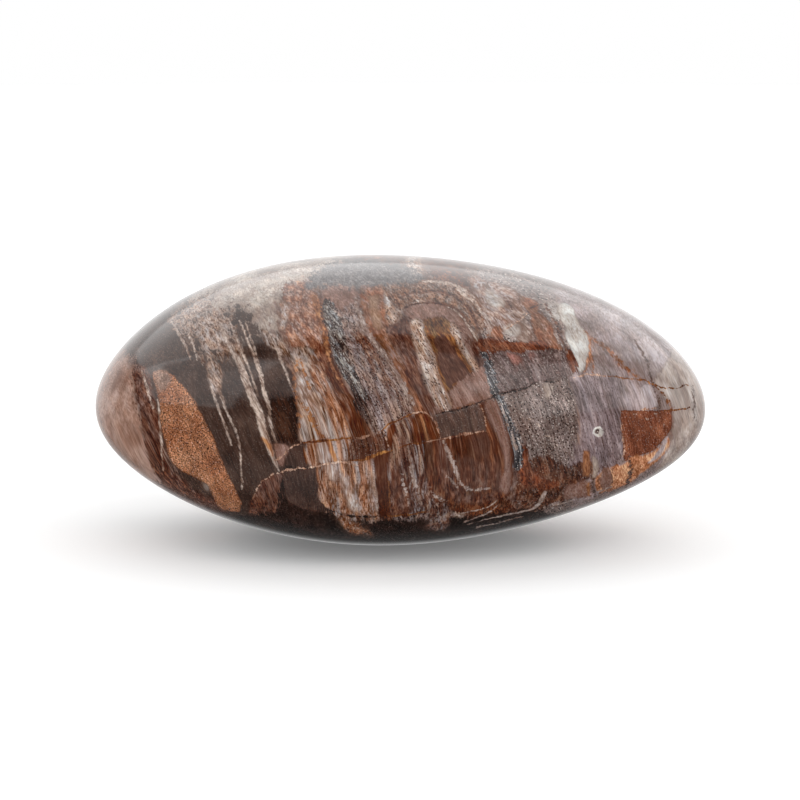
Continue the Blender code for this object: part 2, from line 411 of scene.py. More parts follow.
area("sand_lens", "ochre_sand", [
    [(152, 374), (161, 370), (171, 373), (181, 383), (192, 398), (202, 416), (211, 434), (219, 452),
     (227, 468), (234, 484), (241, 502), (240, 511), (228, 512), (218, 506), (212, 494), (201, 482),
     (186, 473), (173, 462), (165, 445), (161, 420), (159, 400), (155, 386)],
], soft=0.12, ragged=0.25)
area("lens_highlights", "cream_cloud", [
    [(156, 372), (166, 371), (171, 378), (168, 386), (160, 392), (156, 384)],
    [(203, 484), (208, 486), (208, 490), (205, 489)],
], soft=0.5, ragged=0.4, strength=0.6, seam=0)
print(len(layers), "marks so far")

# %% [markdown]
# ## Middle, above the upper crack
# The heart of the stone is wood with its grain intact, in bands a few millimetres wide:
# cream, rust, a blue-grey band full of pores and a grey ribbon. They are drawn from left to
# right, each over the one before, so that neighbours share an edge without being fitted to
# each other.

# %% Middle, above the upper crack
area("red_shoulder", "red_fibre", [
    [(282, 286), (300, 282), (318, 290), (319, 310), (322, 330), (325, 350), (318, 358), (308, 352),
     (298, 356), (290, 344), (285, 330), (288, 310)],
], soft=0.2, ragged=0.7)
area("cream_band", "cream_fibre", [
    [(290, 352), (304, 346), (316, 352), (326, 370), (334, 392), (342, 410), (352, 438), (303, 442),
     (300, 425), (297, 400), (294, 374)],
], soft=0.2, ragged=0.6)
area("tan_band_edge", "tan_fibre", [
    [(316, 352), (326, 368), (334, 390), (343, 408), (353, 438), (338, 439), (330, 420), (322, 400),
     (314, 385), (310, 368)],
], soft=0.3, ragged=0.8)
area("white_ribs", "white_silica", [
    [(297, 376), (304, 372), (309, 386), (314, 398), (320, 410), (325, 422), (331, 437), (322, 438),
     (316, 424), (308, 411), (300, 398), (297, 388)],
    [(281, 304), (286, 302), (289, 308), (286, 320), (284, 330), (279, 329), (280, 318)],
    [(345, 424), (350, 430), (352, 438), (347, 438)],
], soft=0.15, ragged=0.5)
thread("orange_wisps", "orange_stain", [
    [(303, 404, 2.0), (309, 414, 4.0), (315, 426, 5.0), (321, 438, 5.0)],
    [(300, 358, 1.5), (303, 372, 2.5), (309, 388, 2.0)],
    [(296, 360, 1.0), (294, 378, 1.5), (297, 400, 1.5), (301, 430, 1.2)],
], soft=0.15, ragged=0.4)
area("rust_band", "deep_rust", [
    [(320, 338), (328, 336), (331, 352), (335, 366), (341, 380), (349, 392), (357, 403), (364, 418),
     (372, 431), (362, 437), (353, 438), (348, 420), (342, 404), (335, 392), (329, 378), (322, 364)],
], soft=0.2, ragged=0.6)
thread("orange_seam", "orange_stain", [
    [(314, 298, 5.0), (317, 308, 6.0), (320, 320, 4.5), (324, 335, 4.0), (327, 348, 3.4),
     (331, 361, 2.8), (336, 374, 2.2), (342, 385, 1.6)],
], soft=0.12, ragged=0.3)
area("grey_pored_band", "pored_grey", [
    [(319, 286), (322, 300), (325, 318), (329, 335), (333, 352), (338, 368), (346, 383), (356, 397),
     (363, 408), (368, 420), (375, 433), (383, 427), (393, 422), (403, 416), (413, 411), (408, 398),
     (401, 386), (393, 373), (385, 360), (376, 348), (366, 336), (360, 322), (357, 306), (352, 288),
     (335, 284)],
], soft=0.15, ragged=0.4)
area("pink_cap", "pink_mauve", [
    [(320, 286), (338, 282), (356, 288), (358, 299), (350, 306), (338, 309), (325, 306)],
], soft=0.3, ragged=0.5)
area("blue_pored_streak", "pored_blue", [
    [(321, 303), (330, 301), (338, 312), (344, 328), (347, 345), (352, 362), (360, 380), (366, 398),
     (362, 405), (352, 392), (343, 379), (336, 362), (330, 345), (325, 325)],
], soft=0.15, ragged=0.5)
area("rusty_pored_streak", "pored_rust", [
    [(357, 330), (367, 338), (378, 353), (387, 370), (392, 386), (384, 382), (374, 370), (366, 354),
     (360, 342)],
], soft=0.25, ragged=0.6, seam=0)
area("black_streaks", "black_grey", [
    [(350, 384), (361, 397), (371, 412), (380, 427), (372, 434), (364, 420), (356, 406)],
    [(341, 340), (348, 350), (352, 366), (345, 360)],
], soft=0.2, ragged=0.6, seam=0)
thread("grey_ribbon", "ribbon_grey", [
    [(354, 300, 3.0), (358, 310, 5.0), (363, 322, 6.0), (367, 331, 5.5), (375, 342, 4.5),
     (383, 353, 4.5), (390, 364, 5.0), (397, 374, 5.0), (403, 384, 4.5), (408, 395, 4.0),
     (412, 404, 3.0)],
], soft=0.12, ragged=0.35)
area("brown_band", "rust_wood", [
    [(364, 286), (367, 305), (370, 318), (374, 334), (384, 345), (393, 358), (401, 370), (409, 382),
     (414, 395), (417, 409), (428, 408), (421, 392), (415, 378), (410, 366), (402, 355), (393, 343),
     (388, 330), (385, 315), (384, 300), (384, 286)],
], soft=0.2, ragged=0.5)
area("amber_patch", "pale_amber", [
    [(369, 298), (378, 298), (380, 312), (383, 326), (376, 330), (371, 318), (369, 308)],
], soft=0.25, ragged=0.4)
area("cream_spur", "pored_cream", [
    [(384, 286), (402, 284), (404, 300), (402, 312), (398, 322), (390, 326), (386, 315)],
], soft=0.25, ragged=0.5)
area("dark_band", "dark_mauve", [
    [(386, 328), (398, 322), (406, 316), (412, 325), (413, 340), (416, 360), (420, 380), (428, 400),
     (435, 412), (424, 412), (418, 400), (411, 382), (404, 366), (396, 352), (390, 340)],
], soft=0.2, ragged=0.5)
print(len(layers), "marks so far")

# %% [markdown]
# ## Nested arches
# A knot or the root of a branch bent the growth rings here, and the cut shows them as
# arches inside one another. Each arch is an outline of its own, from the outermost to the
# brown core, which keeps their widths as uneven as the real ones.

# %% Nested arches
area("outer_arch", "pored_tan", [
    [(382, 282), (420, 278), (452, 283), (470, 291), (482, 306), (484, 330), (478, 342), (466, 318),
     (450, 305), (430, 300), (410, 303), (400, 308), (390, 300)],
], soft=0.25, ragged=0.5)
area("arch_field", "pink_mauve", [
    [(405, 310), (418, 304), (438, 304), (452, 309), (464, 320), (472, 336), (480, 352), (486, 372),
     (494, 396), (480, 402), (462, 408), (440, 412), (428, 400), (416, 370), (410, 340)],
], soft=0.2, ragged=0.5)
area("arch_shadows", "dark_mauve", [
    [(404, 316), (414, 320), (414, 340), (418, 362), (424, 384), (436, 406), (426, 408), (416, 386),
     (408, 362), (404, 340)],
    [(462, 322), (470, 335), (478, 350), (484, 366), (478, 366), (472, 352), (464, 338)],
], soft=0.25, ragged=0.5)
area("amber_arch", "amber_rim", [
    [(420, 322), (436, 316), (450, 320), (460, 332), (468, 350), (476, 366), (470, 374), (462, 364),
     (458, 380), (448, 394), (440, 384), (430, 356), (422, 338)],
], soft=0.25, ragged=0.4)
area("cream_arch_legs", "pored_cream", [
    [(410, 320), (417, 318), (424, 324), (427, 338), (433, 352), (439, 370), (444, 385), (450, 398),
     (452, 408), (443, 411), (435, 404), (428, 390), (422, 372), (417, 354), (412, 338)],
    [(450, 320), (459, 330), (465, 342), (472, 354), (478, 366), (477, 374), (470, 366), (463, 354),
     (457, 343), (450, 332)],
], soft=0.15, ragged=0.45)
area("arch_heart", "arch_core", [
    [(434, 338), (441, 334), (450, 340), (457, 351), (462, 363), (468, 374), (462, 380), (454, 382),
     (450, 392), (446, 386), (441, 370), (436, 352)],
], soft=0.2, ragged=0.35)
thread("cream_arch_lines", "cream_thread", [
    [(422, 281, 1.0), (438, 282, 2.6), (454, 286, 3.4), (466, 291, 3.0), (476, 298, 1.6)],
    [(454, 288, 1.2), (466, 295, 3.0), (475, 303, 3.0), (482, 314, 1.6)],
    [(446, 306, 0.8), (455, 311, 1.6), (463, 318, 1.2)],
    [(465, 319, 1.4), (470, 328, 2.2), (474, 335, 1.8), (478, 342, 1.2)],
])
thread("dark_arch_line", "chocolate", [
    [(402, 309, 1.0), (408, 305.5, 1.4), (416, 303.5, 1.6), (425, 303, 1.4), (435, 303, 1.2),
     (445, 305, 1.0), (452, 308.5, 0.6)],
], ragged=0.2)
thread("tan_arch_line", "pored_tan", [
    [(396, 322, 1.0), (400, 310, 3.0), (408, 300, 3.4), (424, 296, 3.4), (440, 297, 3.0),
     (454, 302, 2.4), (464, 312, 1.6)],
], soft=0.15, ragged=0.3)
thread("mauve_arch_line", "dark_mauve", [
    [(398, 300, 1.0), (410, 294, 2.0), (428, 291, 2.4), (446, 293, 2.4), (460, 299, 2.0),
     (470, 310, 2.4), (476, 324, 2.0), (482, 338, 1.4)],
], soft=0.12, ragged=0.25)
print(len(layers), "marks so far")

# %% [markdown]
# ## Right part, above the crack
# Broken wood lay loose here before it was cemented. Splinters of rust and slate sit beside
# milky opal, under one straight brick-red seam. Short areas with soft edges suit it better
# than long bands.

# %% Right part, above the crack
area("pink_splinters", "pink_white", [
    [(470, 276), (496, 282), (516, 290), (532, 302), (522, 318), (505, 332), (498, 343), (489, 343),
     (487, 325), (482, 308), (476, 294)],
], soft=0.25, ragged=0.6)
area("rusty_splinters", "rust_wood", [
    [(489, 330), (500, 327), (504, 336), (500, 344), (488, 345)],
    [(530, 314), (542, 313), (551, 325), (557, 338), (562, 350), (545, 349), (538, 340), (532, 325)],
    [(520, 296), (534, 300), (540, 308), (530, 314), (524, 306)],
], soft=0.25, ragged=0.5)
area("green_grey_splinter", "grey_green", [
    [(512, 326), (522, 319), (529, 322), (534, 334), (538, 342), (520, 344), (514, 336)],
], soft=0.2, ragged=0.4)
area("opal_specks", "opal", [
    [(504, 329), (514, 324), (521, 330), (519, 337), (508, 338)],
    [(541, 302), (553, 302), (566, 306), (570, 314), (565, 322), (557, 320), (548, 312)],
    [(485, 292), (497, 292), (503, 302), (497, 310), (488, 304)],
], soft=0.3, ragged=0.6, strength=0.6, seam=0)
thread("grey_slivers", "ribbon_grey", [
    [(481, 303, 1.5), (484, 311, 4.0), (487, 320, 6.0), (489, 329, 5.0), (490, 338, 3.0)],
    [(525, 318, 1.6), (530, 328, 4.0), (534, 336, 4.5), (537, 342, 3.0)],
    [(551, 320, 1.6), (556, 332, 3.0), (559, 343, 2.0)],
    [(560, 320, 2.4), (564, 334, 3.4), (568, 346, 2.0)],
], soft=0.1, ragged=0.3)
thread("dark_slivers", "dark_mauve", [
    [(545, 303, 1.4), (549, 311, 1.8), (553, 320, 1.4)],
    [(554, 321, 2.4), (561, 337, 3.4), (567, 350, 2.4)],
    [(504, 296, 2.0), (509, 303, 2.6), (512, 309, 1.5)],
    [(570, 322, 2.0), (571, 336, 3.0), (572, 346, 2.0)],
], soft=0.12, ragged=0.3)
area("opal_rim", "orange_cream", [
    [(570, 328), (580, 328), (588, 336), (592, 350), (588, 366), (583, 373), (579, 364), (584, 350),
     (580, 338)],
], soft=0.25, ragged=0.4)
area("opal_splinter", "opal", [
    [(559, 305), (567, 303), (574, 311), (579, 323), (586, 335), (589, 348), (586, 361), (582, 372),
     (577, 369), (574, 358), (569, 346), (566, 334), (562, 322), (558, 312)],
], soft=0.14, ragged=0.35)
area("slate_block", "slate_grain", [
    [(480, 351), (500, 348), (540, 346), (560, 350), (572, 358), (576, 372), (560, 379), (540, 382),
     (520, 388), (500, 394), (492, 384), (486, 366)],
], soft=0.2, ragged=0.4)
area("brick_seam", "brick", [
    [(477, 341), (490, 338), (505, 340), (530, 341), (546, 341), (549, 348), (535, 350), (520, 353),
     (505, 352), (490, 352), (480, 350)],
    [(566, 352), (572, 350), (576, 362), (578, 372), (572, 372), (569, 362)],
], soft=0.12, ragged=0.5)
area("brick_flecks", "brick_fleck", [
    [(505, 352), (516, 353), (523, 361), (518, 366), (510, 360)],
    [(484, 355), (489, 359), (491, 367), (486, 364)],
    [(528, 350), (534, 354), (534, 362), (530, 358)],
], soft=0.25, ragged=0.4)
area("tan_chip", "cream_cloud", [
    [(543, 383), (551, 382), (554, 388), (552, 396), (547, 400), (544, 392)],
], soft=0.12, ragged=0.3, strength=0.8)
thread("rusty_lines", "rust_wood", [
    [(584, 332, 1.6), (593, 340, 2.4), (602, 346, 3.0), (612, 354, 3.4), (621, 363, 3.4),
     (630, 371, 2.8), (639, 379, 2.0)],
    [(652, 384, 1.4), (662, 391, 2.4), (668, 399, 2.4), (672, 408, 2.0)],
    [(590, 352, 1.4), (593, 362, 2.4), (592, 372, 1.6)],
], soft=0.2, ragged=0.4)
area("lavender_corner", "lavender", [
    [(641, 386), (650, 384), (655, 392), (659, 405), (652, 410), (642, 409), (640, 396)],
], soft=0.3, ragged=0.4)
thread("dark_lines", "charcoal", [
    [(634, 338, 1.2), (640, 348, 2.0), (646, 362, 2.4), (650, 375, 2.0), (654, 387, 3.0),
     (658, 400, 2.6), (660, 408, 1.6)],
    [(692, 386, 1.0), (695, 400, 1.4), (694, 420, 1.0)],
], soft=0.2, ragged=0.3)
print(len(layers), "marks so far")

# %% [markdown]
# ## Right part, below the crack
# Granular grey, a dark blue vein along its left side, and a glassy rust block with an
# orange and cream band under it. The block broke off clean, so its outline is drawn with
# straight sides.

# %% Right part, below the crack
area("granular_shadow", "granular_dark", [
    [(552, 380), (566, 378), (572, 392), (576, 410), (578, 430), (580, 450), (578, 468), (560, 466),
     (545, 462), (526, 452), (532, 436), (550, 410)],
], soft=0.8, ragged=1.6, strength=0.6, seam=0)
area("mauve_flank", "dusky_mauve", [
    [(572, 377), (600, 376), (618, 379), (622, 400), (622, 440), (618, 466), (596, 476), (570, 470),
     (574, 450), (580, 430), (578, 400)],
], soft=0.5, ragged=0.9, seam=0)
area("red_brown_foot", "red_brown", [
    [(520, 468), (536, 456), (552, 460), (570, 466), (590, 458), (600, 470), (598, 478), (588, 480),
     (575, 486), (566, 494), (562, 502), (545, 506), (542, 520), (560, 530), (500, 545), (515, 500)],
], soft=0.3, ragged=0.6, reach=12)
area("brick_foot", "brick", [
    [(519, 446), (527, 450), (532, 466), (544, 477), (562, 484), (554, 490), (536, 489), (523, 486),
     (518, 468)],
], soft=0.3, ragged=0.6)
thread("blue_vein", "vein_blue", [
    [(484, 353, 5.0), (488, 365, 7.5), (491, 378, 10.0), (495, 390, 8.8), (500, 402, 8.8),
     (505, 415, 10.0), (509, 428, 11.2), (514, 442, 12.5), (516, 455, 12.5), (517, 466, 8.8)],
], soft=0.12, ragged=0.4)
thread("vein_sparkle", "white_thread", [
    [(500, 404, 0.8), (505, 417, 1.6), (508, 428, 1.2)],
    [(511, 432, 1.0), (514, 444, 2.4), (515, 452, 1.2)],
], soft=0.1, ragged=0.3)
area("rust_block", "rust_glass", [
    [(621, 411), (640, 410), (658, 411), (672, 411), (672, 428), (668, 435), (662, 443), (655, 450),
     (640, 455), (625, 462), (623, 445), (621, 425)],
], soft=0.06, ragged=0.15, straight=True)
area("orange_band", "orange_cream", [
    [(631, 458), (645, 454), (656, 450), (663, 444), (669, 436), (671, 445), (663, 456), (652, 466),
     (640, 476), (630, 483), (618, 488), (600, 493), (596, 486), (598, 475), (612, 467), (625, 463)],
], soft=0.15, ragged=0.3, seam=0.15)
area("pink_chips", "pink_mauve", [
    [(600, 474), (612, 468), (612, 486), (602, 490)],
    [(566, 487), (576, 482), (588, 481), (592, 487), (590, 496), (578, 498), (565, 500)],
], soft=0.25, ragged=0.4)
area("orange_chips", "orange_stain", [
    [(583, 450), (589, 452), (591, 464), (589, 476), (584, 474), (582, 462)],
    [(586, 481), (591, 482), (591, 495), (587, 495)],
], soft=0.25, ragged=0.4)
area("cream_chip", "cream_cloud", [
    [(592, 456), (597, 456), (599, 466), (598, 476), (593, 478), (592, 468)],
], soft=0.15, ragged=0.3)
# Painted highlights: pale specks on the rust block and in the granular grey that stand in for tiny
# glints of the polish.
thread("painted_glint_specks", "cream_thread", [
    [(646, 418, 1.6), (648, 419, 1.6)],
    [(650, 425, 1.2), (651, 426, 1.2)],
    [(634, 414, 1.0), (636, 414, 1.0)],
    [(664, 424, 1.0), (665, 425, 1.0)],
    [(655, 414, 1.2), (657, 414, 1.2)],
    [(536, 424, 1.6), (539, 426, 2.0)],
    [(546, 436, 1.6), (549, 437, 1.6)],
    [(528, 418, 1.2), (530, 419, 1.4)],
    [(556, 444, 1.2), (557, 446, 1.4)],
    [(540, 402, 1.0), (542, 403, 1.2)],
    [(515, 437, 1.4), (518, 440, 1.8)],
])
thread("lavender_rim", "lavender", [
    [(668, 437, 2.0), (664, 446, 4.0), (658, 455, 4.5), (650, 462, 2.0)],
], soft=0.2)
thread("dark_joints", "charcoal", [
    [(629, 457, 1.4), (631, 470, 3.0), (626, 486, 3.4)],
    [(592, 480, 1.4), (594, 490, 2.4), (596, 497, 1.4)],
], soft=0.15, ragged=0.3)
print(len(layers), "marks so far")

# %% [markdown]
# ## Slice between the two cracks
# Two healed cracks run across the stone, and the slice between them has slipped, so no band
# runs straight on. The bands are therefore drawn anew for the slice, a little to one side
# of those above.

# %% Slice between the two cracks
area("slice_chert", "mauve_chert", [
    [(284, 458), (290, 447), (300, 443), (308, 443), (309, 467), (292, 469)],
], soft=0.1, ragged=0.3)
area("slice_pink_wedge", "pink_mauve", [
    [(274, 444), (284, 443), (290, 447), (286, 456), (283, 466), (279, 463), (276, 455)],
], soft=0.15, ragged=0.3)
area("slice_tan_band", "tan_fibre", [
    [(306, 443), (322, 441), (352, 440), (353, 460), (338, 461), (326, 464), (309, 467)],
], soft=0.15, ragged=0.4)
area("slice_white_ribs", "white_silica", [
    [(317, 442), (325, 441), (330, 452), (330, 462), (322, 464), (318, 455)],
    [(333, 441), (339, 447), (339, 454), (335, 451)],
], soft=0.2, ragged=0.4)
thread("slice_orange_seam", "orange_stain", [
    [(327, 441, 5.0), (332, 451, 5.0), (336, 460, 4.0)],
], soft=0.15)
area("slice_brown", "red_brown", [
    [(351, 440), (362, 438), (372, 436), (384, 430), (388, 440), (387, 450), (376, 454), (362, 458),
     (352, 460)],
], soft=0.12, ragged=0.3)
area("slice_grey", "mauve_grey", [
    [(387, 433), (400, 423), (413, 416), (413, 443), (400, 448), (390, 450)],
], soft=0.15, ragged=0.4)
area("slice_rust", "deep_rust", [
    [(413, 416), (422, 412), (430, 415), (436, 424), (440, 438), (428, 441), (413, 443)],
    [(386, 428), (396, 424), (394, 436), (390, 449), (385, 445)],
], soft=0.2, ragged=0.5)
thread("slice_orange_thread", "orange_stain", [
    [(421, 416, 3.0), (424, 428, 3.0), (428, 441, 2.4)],
], soft=0.2)
area("charcoal_block", "charcoal", [
    [(434, 414), (446, 411), (463, 407), (472, 405), (479, 403), (484, 413), (486, 424), (486, 432),
     (470, 434), (455, 437), (441, 438), (437, 427)],
], soft=0.1, ragged=0.2, straight=True)
print(len(layers), "marks so far")

# %% [markdown]
# ## Below the lower crack
# The bands turn upright here and end in the lower half of the knot, where the rings hang
# like the letter U. White threads mark single rings.

# %% Below the lower crack
area("lower_left_corner", "dark_mauve", [
    [(250, 506), (256, 490), (263, 480), (272, 474), (283, 471), (287, 490), (290, 520), (270, 540),
     (250, 530)],
], soft=0.12, ragged=0.3)
area("black_corner", "black_chert", [
    [(283, 471), (300, 469), (317, 467), (318, 480), (319, 500), (328, 512), (340, 519), (345, 545),
     (280, 545)],
], soft=0.2, ragged=0.5, reach=12, seam=0)
area("lower_chert", "mauve_chert", [
    [(283, 472), (300, 470), (316, 468), (318, 480), (319, 497), (326, 507), (336, 513), (318, 512),
     (300, 507), (288, 500), (284, 488)],
], soft=0.1, ragged=0.2)
area("lower_tan_band", "tan_fibre", [
    [(316, 467), (330, 464), (346, 460), (360, 459), (371, 458), (374, 480), (377, 500), (380, 516),
     (360, 517), (342, 514), (330, 508), (322, 495), (317, 482)],
], soft=0.12, ragged=0.5)
area("lower_white_ribs", "white_silica", [
    [(326, 465), (334, 464), (338, 474), (337, 482), (330, 481), (327, 473)],
    [(342, 472), (347, 476), (352, 488), (357, 500), (360, 512), (350, 510), (345, 496), (341, 482)],
    [(371, 459), (374, 462), (376, 482), (379, 502), (380, 515), (376, 514), (373, 494), (371, 476)],
], soft=0.25, ragged=0.5)
area("chocolate_band", "chocolate", [
    [(374, 457), (390, 451), (392, 470), (392, 516), (381, 518), (377, 498), (375, 478)],
], soft=0.12, ragged=0.3)
area("lower_grey_band", "mauve_grey", [
    [(390, 451), (415, 444), (428, 441), (430, 465), (432, 490), (440, 505), (452, 512), (430, 513),
     (404, 516), (391, 517)],
], soft=0.15, ragged=0.5)
area("lower_dark_band", "dark_mauve", [
    [(391, 470), (402, 474), (410, 490), (414, 512), (400, 516), (392, 516)],
], soft=0.3, ragged=0.6)
area("amber_knot", "amber_brown", [
    [(424, 441), (440, 439), (486, 433), (496, 430), (505, 430), (512, 450), (513, 476), (508, 496),
     (495, 508), (475, 514), (455, 513), (438, 503), (428, 488), (424, 465)],
], soft=0.15, ragged=0.4)
area("knot_ring", "dark_mauve", [
    [(434, 442), (444, 440), (450, 455), (455, 472), (458, 486), (470, 494), (488, 494), (498, 484),
     (500, 468), (506, 480), (500, 497), (482, 505), (460, 504), (446, 494), (438, 476)],
], soft=0.25, ragged=0.4)
area("knot_middle", "mauve_wood", [
    [(458, 462), (470, 458), (484, 460), (496, 458), (500, 476), (494, 488), (478, 492), (464, 486)],
], soft=0.6, ragged=1.2, strength=0.4, seam=0)
area("knot_shadow", "arch_core", [
    [(470, 438), (484, 434), (492, 442), (490, 454), (482, 458), (474, 452)],
], soft=0.5, ragged=1.0, seam=0)
area("pink_flank", "pink_mauve", [
    [(486, 404), (496, 400), (501, 414), (505, 430), (509, 446), (512, 470), (508, 494), (500, 490),
     (503, 466), (499, 442), (492, 426), (487, 415)],
], soft=0.2, ragged=0.4)
thread("knot_threads", "white_thread", [
    [(443, 440, 2.6), (448, 451, 3.6), (453, 463, 4.2), (457, 475, 3.6), (461, 484, 2.6),
     (468, 489, 2.0), (479, 490.5, 1.8), (489, 489, 1.0)],
    [(446, 474, 1.0), (452, 482, 1.6), (458, 488, 1.0)],
    [(430, 488, 1.4), (437, 497, 2.0), (447, 501, 1.0)],
    [(408, 452, 1.0), (412, 470, 2.6), (417, 488, 2.0), (420, 504, 1.2)],
    [(402, 474, 1.0), (406, 490, 1.8), (409, 506, 1.0)],
], soft=0.12, ragged=0.3)
thread("rusty_hairline", "rust_crack", [
    [(388, 478, 0.8), (389.5, 494, 1.8), (391, 512, 1.2)],
])
print(len(layers), "marks so far")

# %% [markdown]
# ## Underside of the front
# The skin turns under and the stone is dark and quiet, with a few white rings seen almost
# edge on. Part of that dark is the stone's black chert and part is painted shade, laid on
# because the underside gets less light. These marks reach only a few millimetres back, so
# that they don't smear over the underside.

# %% Underside of the front
# Painted shade: the darkest look is laid over the underside to make it darker where less light reaches
# it, on top of the real dark chert there.
area("underside_painted_shade", "black_chert", [
    [(240, 516), (300, 512), (330, 514), (345, 518), (380, 520), (430, 516), (470, 518), (500, 512),
     (545, 512), (560, 530), (500, 580), (300, 580), (230, 540)],
], soft=0.4, ragged=0.5, reach=6)
area("underside_tan_patch", "tan_fibre", [
    [(338, 518), (352, 519), (366, 528), (372, 536), (356, 534), (344, 528)],
], soft=0.5, ragged=0.6)
area("underside_grey_patch", "mauve_grey", [
    [(430, 504), (447, 504), (449, 520), (446, 531), (426, 529), (430, 516)],
], soft=0.2, ragged=0.4)
thread("underside_rings", "white_thread", [
    [(450, 516, 0.6), (470, 513, 0.9), (488, 507, 1.0), (498, 499, 0.6)],
    [(476, 527, 0.6), (492, 524, 1.0), (510, 520, 1.2), (524, 517, 0.9)],
    [(463, 522, 0.7), (475, 518.5, 1.0), (486, 514, 1.1), (494, 509, 0.9), (499, 504, 0.6)],
    [(468, 524, 0.7), (480, 521, 1.0), (492, 517.5, 1.3), (505, 514.5, 1.7), (517, 512.5, 1.8),
     (528, 511, 2.0), (536, 507, 2.8), (541, 500, 4.0), (544, 493, 3.6)],
    [(544, 507, 1.0), (556, 505, 1.8), (566, 502.5, 2.0), (573, 500, 1.0)],
    [(598, 491, 0.8), (606, 489, 1.6), (613, 486, 0.8)],
])
print(len(layers), "marks so far")

# %% [markdown]
# ## Top
# A smoky blue cloud of clear silica lies over the crown.

# %% Top
area("crown_cloud", "blue_cloud", [
    [(306, 290), (316, 270), (340, 260), (376, 258), (406, 266), (424, 276), (410, 284), (386, 286),
     (352, 289), (334, 286)],
], soft=0.5, ragged=0.8, reach=8)
print(len(layers), "marks so far")

# %% [markdown]
# ## Cracks
# Three sorts of crack cross everything else, so they are drawn last. Healed ones are filled
# with pale crystals, rusty ones let iron in, and one is still open. The open one is also
# sunk into the mesh further down.

# %% Cracks
thread("open_cracks", "open_crack", [
    [(478, 402.5, 1.1), (486, 400.5, 1.5), (496, 396, 2.1), (500, 393.5, 1.8), (508, 392, 1.1),
     (515, 390, 1.1), (523, 388, 1.7), (532, 385.5, 1.0), (540, 382, 1.0), (550, 382, 1.1),
     (560, 380, 0.8)],
    [(330, 511, 0.7), (342, 514.5, 1.0), (358, 516.5, 1.0), (372, 517.5, 0.8), (388, 517, 0.6)],
    [(284, 457, 0.6), (288, 449, 0.7), (298, 445, 0.6)],
    [(436, 414, 0.6), (450, 411.5, 0.7), (463, 408.5, 0.7), (478, 404, 0.7)],
], reach=THROUGH, ragged=0.14)
thread("rusty_cracks", "rust_crack", [
    [(304, 443, 1.2), (313, 441.5, 2.4), (325, 441, 2.4), (340, 439.5, 1.6), (352, 438, 1.2)],
    [(352, 459, 1.4), (362, 459, 2.4), (374, 455, 3.0), (383, 452, 2.4), (392, 451, 1.4)],
    [(400, 448.5, 1.4), (412, 443.5, 1.6), (426, 441, 1.4)],
    [(378, 433, 1.0), (388, 425, 1.8), (400, 419.5, 1.4), (412, 414, 1.0)],
    [(378, 517, 1.0), (392, 516, 2.0), (404, 515.5, 1.6), (416, 514, 1.2), (430, 512, 1.0)],
    [(530, 308, 1.4), (538, 305.5, 2.0)],
    [(604, 375, 1.0), (620, 376.5, 1.4), (640, 380, 1.4), (652, 384, 1.2), (664, 387, 1.2),
     (676, 388, 1.0), (688, 385, 0.8)],
    [(664, 411.5, 1.4), (672, 411, 2.0), (680, 410, 1.6), (690, 408, 1.0)],
], reach=THROUGH)
thread("healed_cracks", "healed_crack", [
    [(276, 460, 0.8), (282, 457, 1.3), (287, 451, 1.4), (292, 446, 1.3), (300, 443.5, 1.1)],
    [(252, 501, 0.6), (256, 491, 1.0), (262, 482, 1.3), (270, 475, 1.4), (280, 471, 1.4),
     (290, 469.5, 1.8), (302, 468.5, 1.4), (315, 467, 1.3), (326, 464, 1.9), (334, 463, 1.3),
     (344, 461, 1.8), (353, 463, 1.6), (358, 464.5, 0.8)],
    [(357, 438.5, 1.1), (364, 437.5, 1.8), (370, 434, 1.1)],
    [(412, 413.5, 0.8), (421, 413, 1.3), (429, 415, 1.3), (435, 421, 1.6), (438, 430, 1.6),
     (440, 438, 1.1)],
    [(426, 441, 1.0), (440, 439, 1.3), (452, 437.5, 1.8), (462, 435, 2.1), (474, 433, 1.1),
     (486, 432, 0.8)],
    [(480, 404, 0.8), (484, 414, 1.3), (486, 424, 1.1), (486, 432, 0.6)],
    [(503, 331, 0.8), (512, 325, 1.6), (520, 319, 2.1), (524, 316, 1.1), (528, 311, 1.0)],
    [(574, 377, 0.8), (584, 375, 1.3), (596, 374, 1.9), (604, 375, 1.0)],
    [(638, 409.5, 0.8), (646, 409, 1.6), (656, 408.5, 1.3)],
    [(620, 414, 0.6), (622, 430, 1.0), (624, 446, 1.1), (624, 458, 0.6)],
    [(383, 432, 1.3), (386, 440, 1.9), (389, 447, 1.0)],
], reach=THROUGH, ragged=0.16)
print(len(layers), "marks so far")

# %% [markdown]
# ## The pit
# One small round pit sits in the mauve part, with a whitish rim. Its rim and floor are two
# circles, and the same centre is used below to sink the mesh.

# %% The pit
PIT_AT = (598.5, 432.5)
RIM_PX = 5.6
FLOOR_PX = 2.7


def ring(radius_px):
    """Eight points of a circle round the pit."""
    turns = [math.radians(45 * step) for step in range(8)]
    return [(PIT_AT[0] + radius_px * math.cos(t), PIT_AT[1] + radius_px * math.sin(t)) for t in turns]


area("pit_rim", "opal", [ring(RIM_PX)], soft=0.1, ragged=0.12, edge="mineral", seam=0)
area("pit_floor", "granular_dark", [ring(FLOOR_PX)], soft=0.08, ragged=0.08, edge="mineral", seam=0)
print(len(layers), "marks with", sum(len(layer["lines"]) for layer in layers), "outlines and strokes")


# %% [markdown]
# ## Distance to a mark
# The material has to know how far each point of the skin is from each mark. That could be
# worked out in the shader for every pixel, but a hundred outlines would be far too slow
# there. Here it is worked out once for each point of the mesh, and the shader only reads
# the number and roughens the edge.

# %% Distances in the picture plane
FAR_PX = 20.0
FAR_MM = 3
CURVE_STEP_PX = 4


